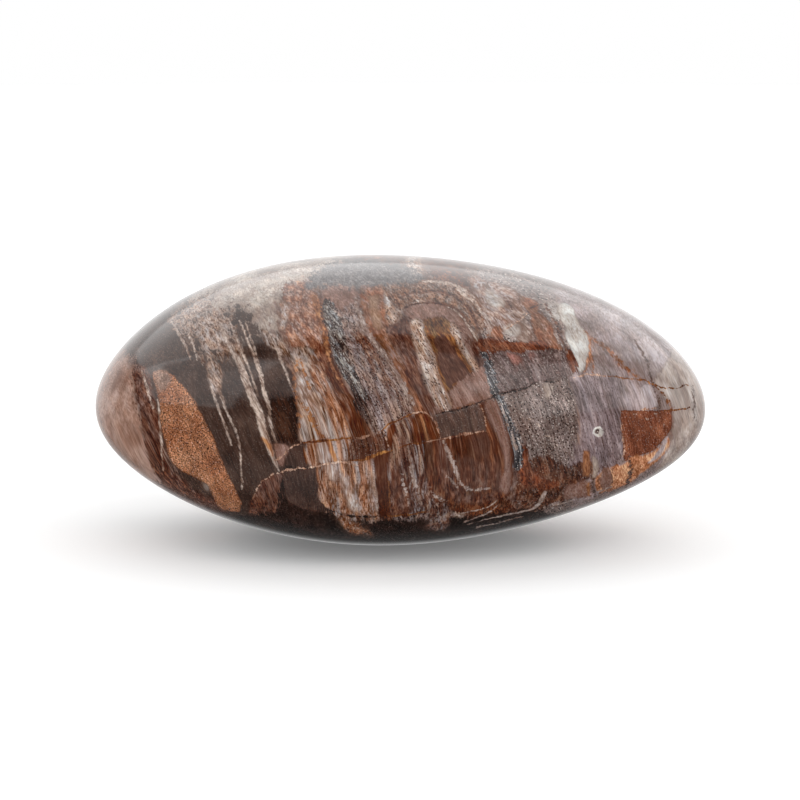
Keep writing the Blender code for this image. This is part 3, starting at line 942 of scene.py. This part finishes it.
def smooth_line(points, closed, straight):
    """Points every few pixels along a smooth curve through the given ones."""
    given = np.array(points, float)
    if closed:
        given = np.vstack([given, given[:1]])
    if straight:
        return given
    if closed:
        ends = np.vstack([given[-2:-1], given, given[1:2]])
    else:
        ends = np.vstack([2 * given[0] - given[1], given, 2 * given[-1] - given[-2]])
    pieces = []
    for a, b, c, d in zip(ends, ends[1:], ends[2:], ends[3:]):
        steps = max(2, int(np.hypot(*(c - b)[:2]) / CURVE_STEP_PX))
        t = np.linspace(0, 1, steps, endpoint=False)[:, None]
        pieces.append(0.5 * (2 * b + (c - a) * t + (2 * a - 5 * b + 4 * c - d) * t**2
                             + (3 * b - a - 3 * c + d) * t**3))
    pieces.append(given[-1:])
    return np.vstack(pieces)


def distance_to(line, across, down):
    """Distance in pixels to a line, less half its width where the line has one."""
    nearest = np.full(len(across), np.inf)
    for start, end in zip(line[:-1], line[1:]):
        step = end[:2] - start[:2]
        length = max(step @ step, 1e-9)
        t = np.clip(((across - start[0]) * step[0] + (down - start[1]) * step[1]) / length, 0, 1)
        gap = np.hypot(across - start[0] - t * step[0], down - start[1] - t * step[1])
        if line.shape[1] == 3:
            gap -= (start[2] + t * (end[2] - start[2])) / 2
        nearest = np.minimum(nearest, gap)
    return nearest


def inside(line, across, down):
    """True where a place lies inside a closed line."""
    crossings = np.zeros(len(across), int)
    for (x0, y0), (x1, y1) in zip(line[:-1, :2], line[1:, :2]):
        if y0 == y1:
            continue
        spans = (down < max(y0, y1)) & (down >= min(y0, y1))
        crossings += spans & (across < x0 + (down - y0) * (x1 - x0) / (y1 - y0))
    return crossings % 2 == 1


# without a seed of its own this noise starts from the clock
WAVER_SEED = 5
noise.seed_set(WAVER_SEED)


def waver(points, across, down, sizes):
    """The places again, shifted a little so that no outline runs smoother than rock does."""
    shifts = np.zeros((len(points), 3))
    for size_mm, shift_px, seed in sizes:
        scaled = points / (size_mm * MM) + seed
        shifts += shift_px * np.array([noise.noise_vector(row) for row in scaled.tolist()])
    return across + shifts[:, 0], down + shifts[:, 2]


def field(layer, across, down, eased):
    """Signed distance of each point to a layer's marks in millimetres, negative inside."""
    result = np.full(len(across), FAR_PX)
    for points in layer["lines"]:
        closed = layer["kind"] == "area"
        line = smooth_line(points, closed, layer["straight"])
        low, high = line[:, :2].min(axis=0) - FAR_PX, line[:, :2].max(axis=0) + FAR_PX
        near = (across > low[0]) & (across < high[0]) & (down > low[1]) & (down < high[1])
        gap = distance_to(line, across[near], down[near])
        if closed:
            gap = np.where(inside(line, across[near], down[near]), -gap, gap)
        result[near] = np.minimum(result[near], gap)
    too_deep = eased / MM - layer["reach"]
    return np.clip(np.maximum(result / PX_PER_MM, too_deep), -FAR_MM, FAR_MM)


# %% [markdown]
# ## Mesh
# The mesh starts as an even ball of small triangles, because an even ball has no poles to
# pinch the polish. The side with the drawn marks is then split once, and the triangles
# under thin threads once more, so that a hairline is as sharp as the picture can show.

# %% Mesh
# size of the waves in mm, how far they shift in pixels, and where in the noise they start
SHEET_WAVER = ((3.5, 1.6, 3.0), (1.1, 0.4, 7.0))
CRACK_WAVER = ((3.5, 1.6, 3.0), (1.1, 1.1, 7.0), (0.45, 0.7, 11.0))
BALL_FINENESS = 7
FRONT_FACING = 0.37
THREAD_MARGIN = 0.27
PIT_MARGIN = 1.6
PIT_FINEST = 1.0


def split_where(directions, triangles, wanted):
    """Splits each triangle whose corners are all wanted into four, and its neighbours to fit."""
    middles = {}
    for a, b, c in triangles[wanted[triangles].all(axis=1)].tolist():
        for edge in ((a, b), (b, c), (c, a)):
            middles.setdefault((min(edge), max(edge)), len(directions) + len(middles))
    ends = np.array(list(middles))
    halfway = directions[ends[:, 0]] + directions[ends[:, 1]]
    halfway /= np.linalg.norm(halfway, axis=1)[:, None]
    split = []
    for corners in triangles.tolist():
        edges = list(zip(corners, corners[1:] + corners[:1]))
        cuts = [middles.get((min(edge), max(edge)), -1) for edge in edges]
        whole = cuts.count(-1)
        turn = (0, cuts.index(max(cuts)), (cuts.index(min(cuts)) + 1) % 3, 0)[3 - whole]
        a, b, c = corners[turn:] + corners[:turn]
        ab, bc, ca = cuts[turn:] + cuts[:turn]
        if whole == 3:
            split.append((a, b, c))
        elif whole == 2:
            split += [(a, ab, c), (ab, b, c)]
        elif whole == 1:
            split += [(ab, b, bc), (a, ab, bc), (a, bc, c)]
        else:
            split += [(a, ab, ca), (ab, b, bc), (ca, bc, c), (ab, bc, ca)]
    return np.vstack([directions, halfway]), np.array(split)


def outward_from(directions):
    """Unit normals of the stone's skin, near enough, for unit directions."""
    outward = directions / np.array([HALF_LENGTH, HALF_DEPTH, HALF_HEIGHT])
    return outward / np.linalg.norm(outward, axis=1)[:, None]


def gap_to_pit(points):
    """Distance of each point to the pit's middle in millimetres."""
    across, down, eased = picture_place(points)
    return np.hypot(across - PIT_AT[0], down - PIT_AT[1]) / PX_PER_MM + eased / MM


ball = bmesh.new()
bmesh.ops.create_icosphere(ball, subdivisions=BALL_FINENESS, radius=1.0)
directions = np.array([vert.co for vert in ball.verts])
directions /= np.linalg.norm(directions, axis=1)[:, None]
triangles = np.array([[vert.index for vert in face.verts] for face in ball.faces])
ball.free()
facing = outward_from(directions) @ -np.array(INTO_PICTURE)
directions, triangles = split_where(directions, triangles, facing > FRONT_FACING)

points = placed(skin(directions))
across, down, eased = picture_place(points)
across, down = waver(points, across, down, CRACK_WAVER)
thin = np.full(len(across), np.inf)
for layer in layers:
    if layer["kind"] == "thread":
        thin = np.minimum(thin, field(layer, across, down, eased))
near_mark = (thin < THREAD_MARGIN) & (eased == 0)
directions, triangles = split_where(directions, triangles, near_mark | (gap_to_pit(points) < PIT_MARGIN))
near_pit = gap_to_pit(placed(skin(directions))) < PIT_FINEST
directions, triangles = split_where(directions, triangles, near_pit)

points = placed(skin(directions))
across, down, eased = picture_place(points)
print(len(points), "points in the skin")

# %% [markdown]
# ## Pit and open crack
# The pit is a little over a millimetre wide and about a third as deep, and the open crack is
# a hairline that a fingernail would just catch. Both are true hollows, so they are sunk into
# the mesh along the skin's own normal and throw real shadows.

# %% Pit and open crack
PIT_RADIUS = 0.66
PIT_DEPTH = 0.45 * MM
PIT_ROUNDNESS = 0.7
CRACK_HALF_WIDTH = 0.17
CRACK_DEPTH = 0.10 * MM
sheet_place = waver(points, across, down, SHEET_WAVER)
crack_place = waver(points, across, down, CRACK_WAVER)
bowl = np.clip(1 - (gap_to_pit(points) / PIT_RADIUS) ** 2, 0, 1) ** PIT_ROUNDNESS
sunk = PIT_DEPTH * bowl
for layer in layers:
    if layer["look"] == "open_crack":
        crack_gap = field(layer, *crack_place, eased)
        sunk = np.maximum(sunk, CRACK_DEPTH * np.clip(1 - crack_gap / CRACK_HALF_WIDTH, 0, 1))
points = points - outward_from(directions) * sunk[:, None]
print("deepest hollow", round(float(sunk.max()) / MM, 2), "mm")

# %% The mesh as an object
mesh = bpy.data.meshes.new("pebble_skin")
mesh.from_pydata(points.tolist(), [], triangles.tolist())
mesh.shade_smooth()
pebble = bpy.data.objects.new("polished_pebble", mesh)
bpy.context.collection.objects.link(pebble)
print(len(mesh.polygons), "triangles in the skin")


# %% [markdown]
# ## What the material will read
# Each point of the mesh keeps its distance to every mark, its own place in millimetres, and
# its place in the grain: across the fibres, into the stone and along the fibres. The grain
# of the real stone leans over, and turns upright below the cracks, so the sideways
# coordinate is sheared by a different amount there. Every streak below then follows the
# wood without any texture being wrapped round the stone.

# %% Marks on the mesh
def keep(name, kind, values):
    """Stores a value or a vector for each point of the mesh."""
    attribute = mesh.attributes.new(name, kind, "POINT")
    slot = "value" if kind == "FLOAT" else "vector"
    attribute.data.foreach_set(slot, np.asarray(values, np.float32).ravel())


# the lean is pixels sideways for each pixel up or down; the spans are pixels across
GRAIN_TURNS_AT = 430
TURN_SOFTNESS = 18
LEAN_ABOVE = 0.55
LESS_LEAN_ABOVE_RIGHT = 0.20
ABOVE_RIGHT = (480, 570)
LEAN_BELOW = 0.05
MORE_LEAN_BELOW_LEFT = 0.42
BELOW_LEFT = (-330, -250)
MORE_LEAN_BELOW_RIGHT = 0.18
BELOW_RIGHT = (500, 560)


def blend_over(value, low, high):
    """0 below low, 1 above high and smooth in between."""
    t = np.clip((value - low) / (high - low), 0, 1)
    return t * t * (3 - 2 * t)


lean_above = LEAN_ABOVE - LESS_LEAN_ABOVE_RIGHT * blend_over(across, *ABOVE_RIGHT)
lean_below = LEAN_BELOW + MORE_LEAN_BELOW_LEFT * blend_over(-across, *BELOW_LEFT)
lean_below = lean_below + MORE_LEAN_BELOW_RIGHT * blend_over(across, *BELOW_RIGHT)
below = TURN_SOFTNESS * np.logaddexp(0, (down - GRAIN_TURNS_AT) / TURN_SOFTNESS)
above = (down - GRAIN_TURNS_AT) - below
straightened = across - lean_above * above - lean_below * below
along = -down

GRAIN_BEND = 0.25
GRAIN_BEND_LENGTH = 3.0 * MM
bend = np.array([noise.noise_vector(row) for row in (points / GRAIN_BEND_LENGTH).tolist()])
grain = np.stack([straightened / PX_PER_MM, points[:, 1] / MM, along / PX_PER_MM], axis=1)
grain[:, :2] += GRAIN_BEND * bend[:, :2]
keep("grain", "FLOAT_VECTOR", grain)
keep("place", "FLOAT_VECTOR", points / MM)
for layer in layers:
    drawn_in = crack_place if layer["look"].endswith("_crack") else sheet_place
    keep(layer["name"], "FLOAT", field(layer, *drawn_in, eased))
print("grain coordinate spans", np.round(grain.min(axis=0)), np.round(grain.max(axis=0)))

# %% [markdown]
# ## The material
# Petrified wood is chalcedony and quartz, ground with ever finer grit and polished. Nothing
# is painted on it: the eye sees down through a hard clear gloss to a body that is streaked
# like wood. One material does for the whole stone, since it is one piece.

# %% Material
wood = bpy.data.materials.new("polished_petrified_wood")
wood.use_nodes = True
tree = wood.node_tree
tree.nodes.clear()


def node(tree, kind, settings, inputs):
    """Adds a node with its settings; an input is a value or another node's output."""
    made = tree.nodes.new(kind)
    for name, value in settings.items():
        setattr(made, name, value)
    for name, value in inputs.items():
        if isinstance(value, bpy.types.NodeSocket):
            tree.links.new(value, made.inputs[name])
        else:
            made.inputs[name].default_value = value
    return made


def times(tree, first, second):
    """The product of two values."""
    return node(tree, "ShaderNodeMath", {"operation": "MULTIPLY"}, {0: first, 1: second}).outputs[0]


def times_plus(tree, first, second, third):
    """The product of two values, plus a third one."""
    return node(tree, "ShaderNodeMath", {"operation": "MULTIPLY_ADD"},
                {0: first, 1: second, 2: third}).outputs[0]


def mixed(tree, share, first, second):
    """A value between two others, by the share of the second one."""
    return node(tree, "ShaderNodeMix", {}, {0: share, 2: first, 3: second}).outputs[0]


def mixed_colour(tree, share, first, second, blend="MIX"):
    """A colour with a share of a second one mixed in or multiplied over it."""
    return node(tree, "ShaderNodeMix", {"data_type": "RGBA", "blend_type": blend},
                {0: share, 6: first, 7: second}).outputs[2]


def stretched(tree, value, low, high, to_low=0.0, to_high=1.0, smooth=False):
    """A value carried from one span to another, also beyond the ends when it isn't smooth."""
    curve = "SMOOTHSTEP" if smooth else "LINEAR"
    return node(tree, "ShaderNodeMapRange", {"interpolation_type": curve, "clamp": False},
                {0: value, 1: low, 2: high, 3: to_low, 4: to_high}).outputs[0]


# %% [markdown]
# ## Patterns that every look shares
# All the patterns come from the old wood: single fibres, bundles of them, growth lines,
# pores and grains of sand. Real fibres are some 0.03 mm wide and the picture shows 7 pixels
# to the millimetre, so they are drawn as coarse as 0.2 mm to show at all. Pores and grit
# are drawn at about twice their real size for the same reason. Stretched noise gives
# streaks and a cell texture gives round dots.

# %% Patterns that every look shares
# millimetres across the grain, into the stone and along the grain
FIBRE = (0.21, 0.6, 3.0)
BUNDLE = (0.75, 1.8, 8.0)
THREAD = (0.34, 1.0, 8.0)
CLOUD = (4.5, 4.5, 4.5)
CRYSTAL = (0.6, 0.6, 0.6)
BROAD = (1.6, 3.0, 5.0)
STAIN = (0.8, 2.0, 9.0)
PORE = (0.31, 1.0, 0.47)
GRIT = (0.30, 1.0, 0.36)
SAND = (0.19, 0.19, 0.19)
# each pattern is shifted this far, so that no two of them line up
PATTERNS_APART = 7.3

grain_mm = node(tree, "ShaderNodeAttribute", {"attribute_name": "grain"}, {}).outputs["Vector"]
place_mm = node(tree, "ShaderNodeAttribute", {"attribute_name": "place"}, {}).outputs["Vector"]
noises = {}
for name, where, size, detail, roughness in (
    ("fibre", grain_mm, FIBRE, 2.0, 0.6), ("bundle", grain_mm, BUNDLE, 2.0, 0.55),
    ("thread", grain_mm, THREAD, 1.0, 0.5), ("cloud", place_mm, CLOUD, 2.0, 0.45),
    ("crystal", place_mm, CRYSTAL, 3.0, 0.65), ("sand", place_mm, SAND, 1.0, 0.5),
    ("broad", grain_mm, BROAD, 2.0, 0.5), ("stain", grain_mm, STAIN, 2.0, 0.5),
):
    apart = (PATTERNS_APART * len(noises), 0, 0)
    scale = [1 / part for part in size]
    sized = node(tree, "ShaderNodeMapping", {}, {"Vector": where, "Scale": scale, "Location": apart})
    made = node(tree, "ShaderNodeTexNoise", {}, {"Vector": sized.outputs[0], "Scale": 1.0,
                                                 "Detail": detail, "Roughness": roughness})
    noises[name] = made.outputs["Fac"]

# a dot starts at the edge distance from a cell's middle and is full at the core distance
dots = {}
for name, size, edge, core in (("pore", PORE, 0.42, 0.20), ("grit", GRIT, 0.34, 0.10)):
    apart = (0, 0, 5.1 + PATTERNS_APART * len(dots))
    scale = [1 / part for part in size]
    sized = node(tree, "ShaderNodeMapping", {}, {"Vector": grain_mm, "Scale": scale, "Location": apart})
    made = node(tree, "ShaderNodeTexVoronoi", {}, {"Vector": sized.outputs[0], "Scale": 1.0})
    dots[name] = stretched(tree, made.outputs["Distance"], edge, core, smooth=True)
print(len(noises), "noises and", len(dots), "kinds of dot")

# %% [markdown]
# ## Streaks, clouds and ragged edges
# Raw noise stays near its middle value, so each pattern is stretched to run from 0 to 1.
# The same fibres that colour the stone also fray the edges of the marks, which is what ties
# a band to its neighbour in the real wood.

# %% Streaks, clouds and ragged edges
# how much of the second noise goes into each mixture
BUNDLES_IN_STREAKS = 0.5
FIBRES_IN_CLOUDS = 0.25
BUNDLES_IN_EDGES = 0.65
# the values of raw noise that are carried to the ends of the pattern
STREAK_SPAN = (0.39, 0.61)
CLOUD_SPAN = (0.36, 0.64)
THREAD_SPAN = (0.54, 0.66)
NOISE_SPAN = (0.3, 0.7)
mix = mixed(tree, BUNDLES_IN_STREAKS, noises["fibre"], noises["bundle"])
streaks = stretched(tree, mix, *STREAK_SPAN)
mix = mixed(tree, FIBRES_IN_CLOUDS, noises["cloud"], noises["fibre"])
clouds = stretched(tree, mix, *CLOUD_SPAN)
mix = mixed(tree, BUNDLES_IN_EDGES, noises["fibre"], noises["bundle"])
fibre_edge = stretched(tree, mix, *NOISE_SPAN, -1.0, 1.0)
crystal_edge = stretched(tree, noises["crystal"], *NOISE_SPAN, -1.0, 1.0)
threads = stretched(tree, noises["thread"], *THREAD_SPAN, smooth=True)
print(len(tree.nodes), "nodes so far")

# %% [markdown]
# ## One layer of marks
# A layer is one mark with its look: four shades along a ramp, a few threads of a fifth one,
# a darker seam where it meets the stone round it, and a mask made from its distance. Each
# layer is a small node group, because Blender goes over a whole tree at every change, and
# many small trees are far quicker to build than one large one. Each layer is also a touch
# lighter or darker than its look, so that two marks with one look differ a little.

# %% One layer of marks
STOPS = (0.10, 0.37, 0.63, 0.92)
SEAM_WIDTH = 0.22
SEAM_SHADE = "#3c1c10"
TONE_SWING = 0.03
TONE_TURN = 2.4
SLIGHTLY_STAINED = 0.12
SHARED = {"Streaks": streaks, "Clouds": clouds, "Threads": threads}
RAGGED = {"fibre": fibre_edge, "mineral": crystal_edge}


def mark_group(number, layer):
    """A small tree that lays one layer's look over the colour and amounts it is given."""
    *shades, streaky, thread_shade, thread_share, pores, grit, sand = LOOKS[layer["look"]]
    group = bpy.data.node_groups.new(layer["name"], "ShaderNodeTree")
    for name in ("Streaks", "Clouds", "Threads", "Ragged"):
        group.interface.new_socket(name, in_out="INPUT", socket_type="NodeSocketFloat")
    for way in ("INPUT", "OUTPUT"):
        group.interface.new_socket("Stain", in_out=way, socket_type="NodeSocketFloat")
        group.interface.new_socket("Colour", in_out=way, socket_type="NodeSocketColor")
        group.interface.new_socket("Amounts", in_out=way, socket_type="NodeSocketVector")
    given = node(group, "NodeGroupInput", {}, {}).outputs

    value = mixed(group, streaky, given["Clouds"], given["Streaks"])
    ramp = node(group, "ShaderNodeValToRGB", {}, {0: value})
    stops = ramp.color_ramp.elements
    stops.new(STOPS[1])
    stops.new(STOPS[2])
    tone = 1 + TONE_SWING * math.sin(number * TONE_TURN)
    for stop, place, shade in zip(stops, STOPS, shades):
        stop.position = place
        stop.color = (*[tone * part for part in linear(shade)], 1)
    tint = ramp.outputs[0]
    if thread_shade:
        share = times(group, given["Threads"], thread_share)
        tint = mixed_colour(group, share, tint, (*linear(thread_shade), 1))

    gap = node(group, "ShaderNodeAttribute", {"attribute_name": layer["name"]}, {}).outputs["Fac"]
    gap = times_plus(group, given["Ragged"], layer["ragged"], gap)
    mask = stretched(group, gap, layer["soft"], -layer["soft"], 0.0, layer["strength"], smooth=True)
    if layer["seam"]:
        near = node(group, "ShaderNodeMath", {"operation": "ABSOLUTE"}, {0: gap}).outputs[0]
        near = stretched(group, near, SEAM_WIDTH, 0.0, 0.0, layer["seam"], smooth=True)
        tint = mixed_colour(group, near, tint, (*linear(SEAM_SHADE), 1))
    colour = mixed_colour(group, mask, given["Colour"], tint)
    amounts = node(group, "ShaderNodeMix", {"data_type": "VECTOR"},
                   {0: mask, 4: given["Amounts"], 5: (pores, grit, sand)}).outputs[1]
    stain = mixed(group, mask, given["Stain"], STAINED.get(layer["look"], SLIGHTLY_STAINED))
    node(group, "NodeGroupOutput", {}, {"Colour": colour, "Amounts": amounts, "Stain": stain})
    return group


# %% [markdown]
# ## One layer over the other
# The groups are chained in the order in which they were drawn, each handing its colour on
# to the next, just as a later filling replaced an earlier one.

# %% One layer over the other
EVERYWHERE = dict(look="mauve_wood", name="everywhere", edge="fibre", soft=0.1, ragged=0.0,
                  strength=1.0, seam=0)
keep("everywhere", "FLOAT", np.full(len(points), -FAR_MM))
colour = (0, 0, 0, 1)
amounts = (0, 0, 0)
stain = 0.0
for number, layer in enumerate([EVERYWHERE] + layers):
    group = mark_group(number, layer)
    laid = node(tree, "ShaderNodeGroup", {"node_tree": group},
                {**SHARED, "Ragged": RAGGED[layer["edge"]], "Colour": colour, "Amounts": amounts,
                 "Stain": stain})
    colour, amounts, stain = (laid.outputs[name] for name in ("Colour", "Amounts", "Stain"))
print(len(tree.nodes), "nodes with the layers")

# %% [markdown]
# ## Pores, grit and sand
# The vessels of the old wood show as dark dots drawn out along the grain, quartz grains as
# pale ones, and sand as an even sparkle. The chain has worked out how much of each belongs
# at every point, so one pattern of each does for the whole stone.

# %% Pores, grit and sand
PORE_SHADE = "#6a4a3a"
GRIT_SHADE = "#d2c6be"
GRIT_STRENGTH = 0.7
SAND_SWING = 0.9
FIBRE_SWING = 0.11
BROAD_SWING = 0.20


def swing(name, size):
    """A noise that makes the colour darker and lighter by a share."""
    return stretched(tree, noises[name], *NOISE_SPAN, 1 - size, 1 + size)


parts = node(tree, "ShaderNodeSeparateXYZ", {}, {0: amounts}).outputs
pores = times(tree, dots["pore"], parts[0])
grit = times(tree, dots["grit"], parts[1])
grit = times(tree, grit, GRIT_STRENGTH)
colour = mixed_colour(tree, grit, colour, (*linear(GRIT_SHADE), 1))
colour = mixed_colour(tree, pores, colour, (*linear(PORE_SHADE), 1), "MULTIPLY")
sandy = stretched(tree, noises["sand"], *NOISE_SPAN, -SAND_SWING, SAND_SWING)
shade = times_plus(tree, sandy, parts[2], 1.0)
shade = times(tree, shade, swing("fibre", FIBRE_SWING))
shade = times(tree, shade, swing("broad", BROAD_SWING))
shade = node(tree, "ShaderNodeCombineXYZ", {}, {0: shade, 1: shade, 2: shade}).outputs[0]
colour = mixed_colour(tree, 1.0, colour, shade, "MULTIPLY")
print(len(tree.nodes), "nodes with pores, grit and sand")

# %% [markdown]
# ## Warm and cool streaks
# Iron stained some fibres rusty and left others bluish. A slow noise along the grain picks
# the one or the other, and tints the colour where the look is stained.

# %% Warm and cool streaks
WARM = (1.20, 0.95, 0.70, 1)
COOL = (0.86, 1.03, 1.22, 1)
WARMEST_AT = 0.36
COOLEST_AT = 0.64
coolness = node(tree, "ShaderNodeMapRange", {}, {0: noises["stain"], 1: WARMEST_AT, 2: COOLEST_AT})
hue = mixed_colour(tree, coolness.outputs[0], WARM, COOL)
colour = mixed_colour(tree, stain, colour, hue, "MULTIPLY")
print(len(tree.nodes), "nodes with the tint")

# %% [markdown]
# ## The polish
# Quartz has an index of refraction of 1.54 and takes a high polish, which gives sharp pale
# reflections with the colour showing between them. The softer fibres wear a little lower and
# duller than the hard ones and tiny specks pull out, so the roughness varies a little along
# the grain, and the bump is under a hundredth of a millimetre deep.

# %% The polish
SMOOTHEST = 0.08
DULLEST = 0.13
FIBRE_RELIEF = 0.0008
SPECK_DEPTH = 0.006
SPECK_SPAN = (0.66, 0.72)
POLISH_SPAN = (0.35, 0.65)
QUARTZ_IOR = 1.54
speck = stretched(tree, noises["crystal"], *SPECK_SPAN, 0.0, -SPECK_DEPTH, smooth=True)
relief = times_plus(tree, noises["fibre"], FIBRE_RELIEF, speck)
bump = node(tree, "ShaderNodeBump", {}, {"Height": relief, "Distance": MM, "Strength": 1.0})
dullness = node(tree, "ShaderNodeMapRange", {}, {0: noises["bundle"], 1: POLISH_SPAN[0],
                                                 2: POLISH_SPAN[1], 3: SMOOTHEST, 4: DULLEST})
shader = node(tree, "ShaderNodeBsdfPrincipled", {}, {
    "Base Color": colour, "Roughness": dullness.outputs[0], "Normal": bump.outputs[0],
    "IOR": QUARTZ_IOR})
node(tree, "ShaderNodeOutputMaterial", {}, {"Surface": shader.outputs[0]})
pebble.data.materials.append(wood)
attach(pebble, "root")
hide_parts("pebble")
print(len(tree.nodes), "nodes in the material")

# %% [markdown]
# ## Floor
# The stone lies on matt white paper. A plain disc is enough, because nothing of it shows
# but a soft shadow. Paper scatters light evenly and has no gloss. A faint glow stands in for
# the light that a large white studio sends back onto it.

# %% Floor
FLOOR_RADIUS = 0.78
PAPER_GLOW = 0.15
disc = bmesh.new()
bmesh.ops.create_circle(disc, cap_ends=True, radius=FLOOR_RADIUS, segments=96)
floor_mesh = bpy.data.meshes.new("floor")
disc.to_mesh(floor_mesh)
disc.free()
floor = bpy.data.objects.new("floor", floor_mesh)
bpy.context.collection.objects.link(floor)

paper = bpy.data.materials.new("matt_white_paper")
paper.use_nodes = True
paper.node_tree.nodes.clear()
paper_shader = node(paper.node_tree, "ShaderNodeBsdfPrincipled", {}, {
    "Base Color": (*linear("#f3f3f3"), 1), "Roughness": 0.9, "Specular IOR Level": 0.0,
    "Emission Color": (1, 1, 1, 1), "Emission Strength": PAPER_GLOW})
node(paper.node_tree, "ShaderNodeOutputMaterial", {}, {"Surface": paper_shader.outputs[0]})
floor_mesh.materials.append(paper)
floor.visible_glossy = False
print("floor", 2 * FLOOR_RADIUS, "m across")

# %% [markdown]
# ## Lights
# The picture was lit by large soft boxes: one overhead, one behind it, one low on the left
# whose edge draws the dark line across the chert, and weaker ones in front. A polished stone
# is a mirror, so the places and sizes of the boxes are chosen for their reflections. Three
# fill lights are kept out of the reflections and only lift the colour. A soft box is set by
# its radiance, which stays the same when its size changes.

# %% Lights
def softbox(name, centre, aim, width, height, radiance, glossy=True, shape="RECTANGLE", turn=0):
    """An area light of a given radiance, seen in the polish or not."""
    lamp = bpy.data.lights.new(name, "AREA")
    lamp.shape = shape
    lamp.size = width
    lamp.size_y = height
    area_of_lamp = width * height * (math.pi / 4 if shape == "ELLIPSE" else 1)
    lamp.energy = radiance * math.pi * area_of_lamp
    holder = bpy.data.objects.new(name, lamp)
    holder.location = centre
    facing = (Vector(centre) - Vector(aim)).to_track_quat("Z", "Y")
    holder.rotation_euler = (facing @ Quaternion((0, 0, 1), math.radians(turn))).to_euler()
    holder.visible_glossy = glossy
    bpy.context.collection.objects.link(holder)
    return holder


# centre and aim, width and height in metres, then the radiance
softbox("overhead_softbox", (0, 0.60, 0.56), (0, 0.60, 0), 1.50, 1.16, 0.92, shape="ELLIPSE")
softbox("back_softbox", (0, 0.92, 0.56), (0, 0.92, 0), 1.9, 1.1, 0.85)
softbox("left_softbox", (-0.76, -0.02, 0.45), (-0.76, -0.02, 0), 0.89, 0.75, 0.90, turn=131)
softbox("right_softbox", (0.51, -0.20, 0.39), (0, 0, 0.03), 0.56, 0.44, 0.95)
softbox("front_softbox", (-0.10, -0.30, 0.50), (-0.10, -0.30, 0), 0.90, 0.42, 0.42)
softbox("fill_front", (0, -0.8, 0.6), (0, 0, 0.02), 1.6, 0.8, 1.35, glossy=False)
softbox("fill_left", (-0.9, 0.0, 0.35), (0, 0, 0.0), 1.2, 0.6, 1.2, glossy=False)
softbox("fill_right", (0.9, 0.0, 0.35), (0, 0, 0.0), 1.2, 0.6, 1.7, glossy=False)

# %% [markdown]
# ## Studio walls
# What the stone mirrors between the soft boxes is the room: white behind it, darker towards
# the camera and above, and the paper in front of it, which the world has to stand in for
# because the floor is left out of the reflections. The camera itself sees plain white.

# %% Studio walls
world = bpy.data.worlds.new("studio")
bpy.context.scene.world = world
world.use_nodes = True
sky = world.node_tree
sky.nodes.clear()
direction = node(sky, "ShaderNodeTexCoord", {}, {}).outputs["Generated"]
split = node(sky, "ShaderNodeSeparateXYZ", {}, {0: direction}).outputs
# 1 and 2 are where in the direction the change starts and ends, 3 and 4 the light there
back_wall = node(sky, "ShaderNodeMapRange", {}, {0: split["Y"], 1: 0.60, 2: 0.97, 3: 0.10, 4: 1.1})
above_table = node(sky, "ShaderNodeMapRange", {}, {0: split["Z"], 1: -0.5, 2: 0.0, 3: 0.1, 4: 1.0})
table_low = node(sky, "ShaderNodeMapRange", {}, {0: split["Z"], 1: -0.3, 2: -0.7, 3: 0.0, 4: 0.22})
table_near = node(sky, "ShaderNodeMapRange", {}, {0: split["Y"], 1: 0.2, 2: -0.3, 3: 0.12, 4: 1.0})
table = times(sky, table_low.outputs[0], table_near.outputs[0])
room = times_plus(sky, back_wall.outputs[0], above_table.outputs[0], table)
seen = node(sky, "ShaderNodeLightPath", {}, {}).outputs["Is Camera Ray"]
strength = mixed(sky, seen, room, 1.0)
background = node(sky, "ShaderNodeBackground", {}, {"Color": (1, 1, 1, 1), "Strength": strength})
node(sky, "ShaderNodeOutputWorld", {}, {"Surface": background.outputs[0]})
bpy.context.scene.view_settings.view_transform = "Standard"
print(len(sky.nodes), "nodes in the studio")
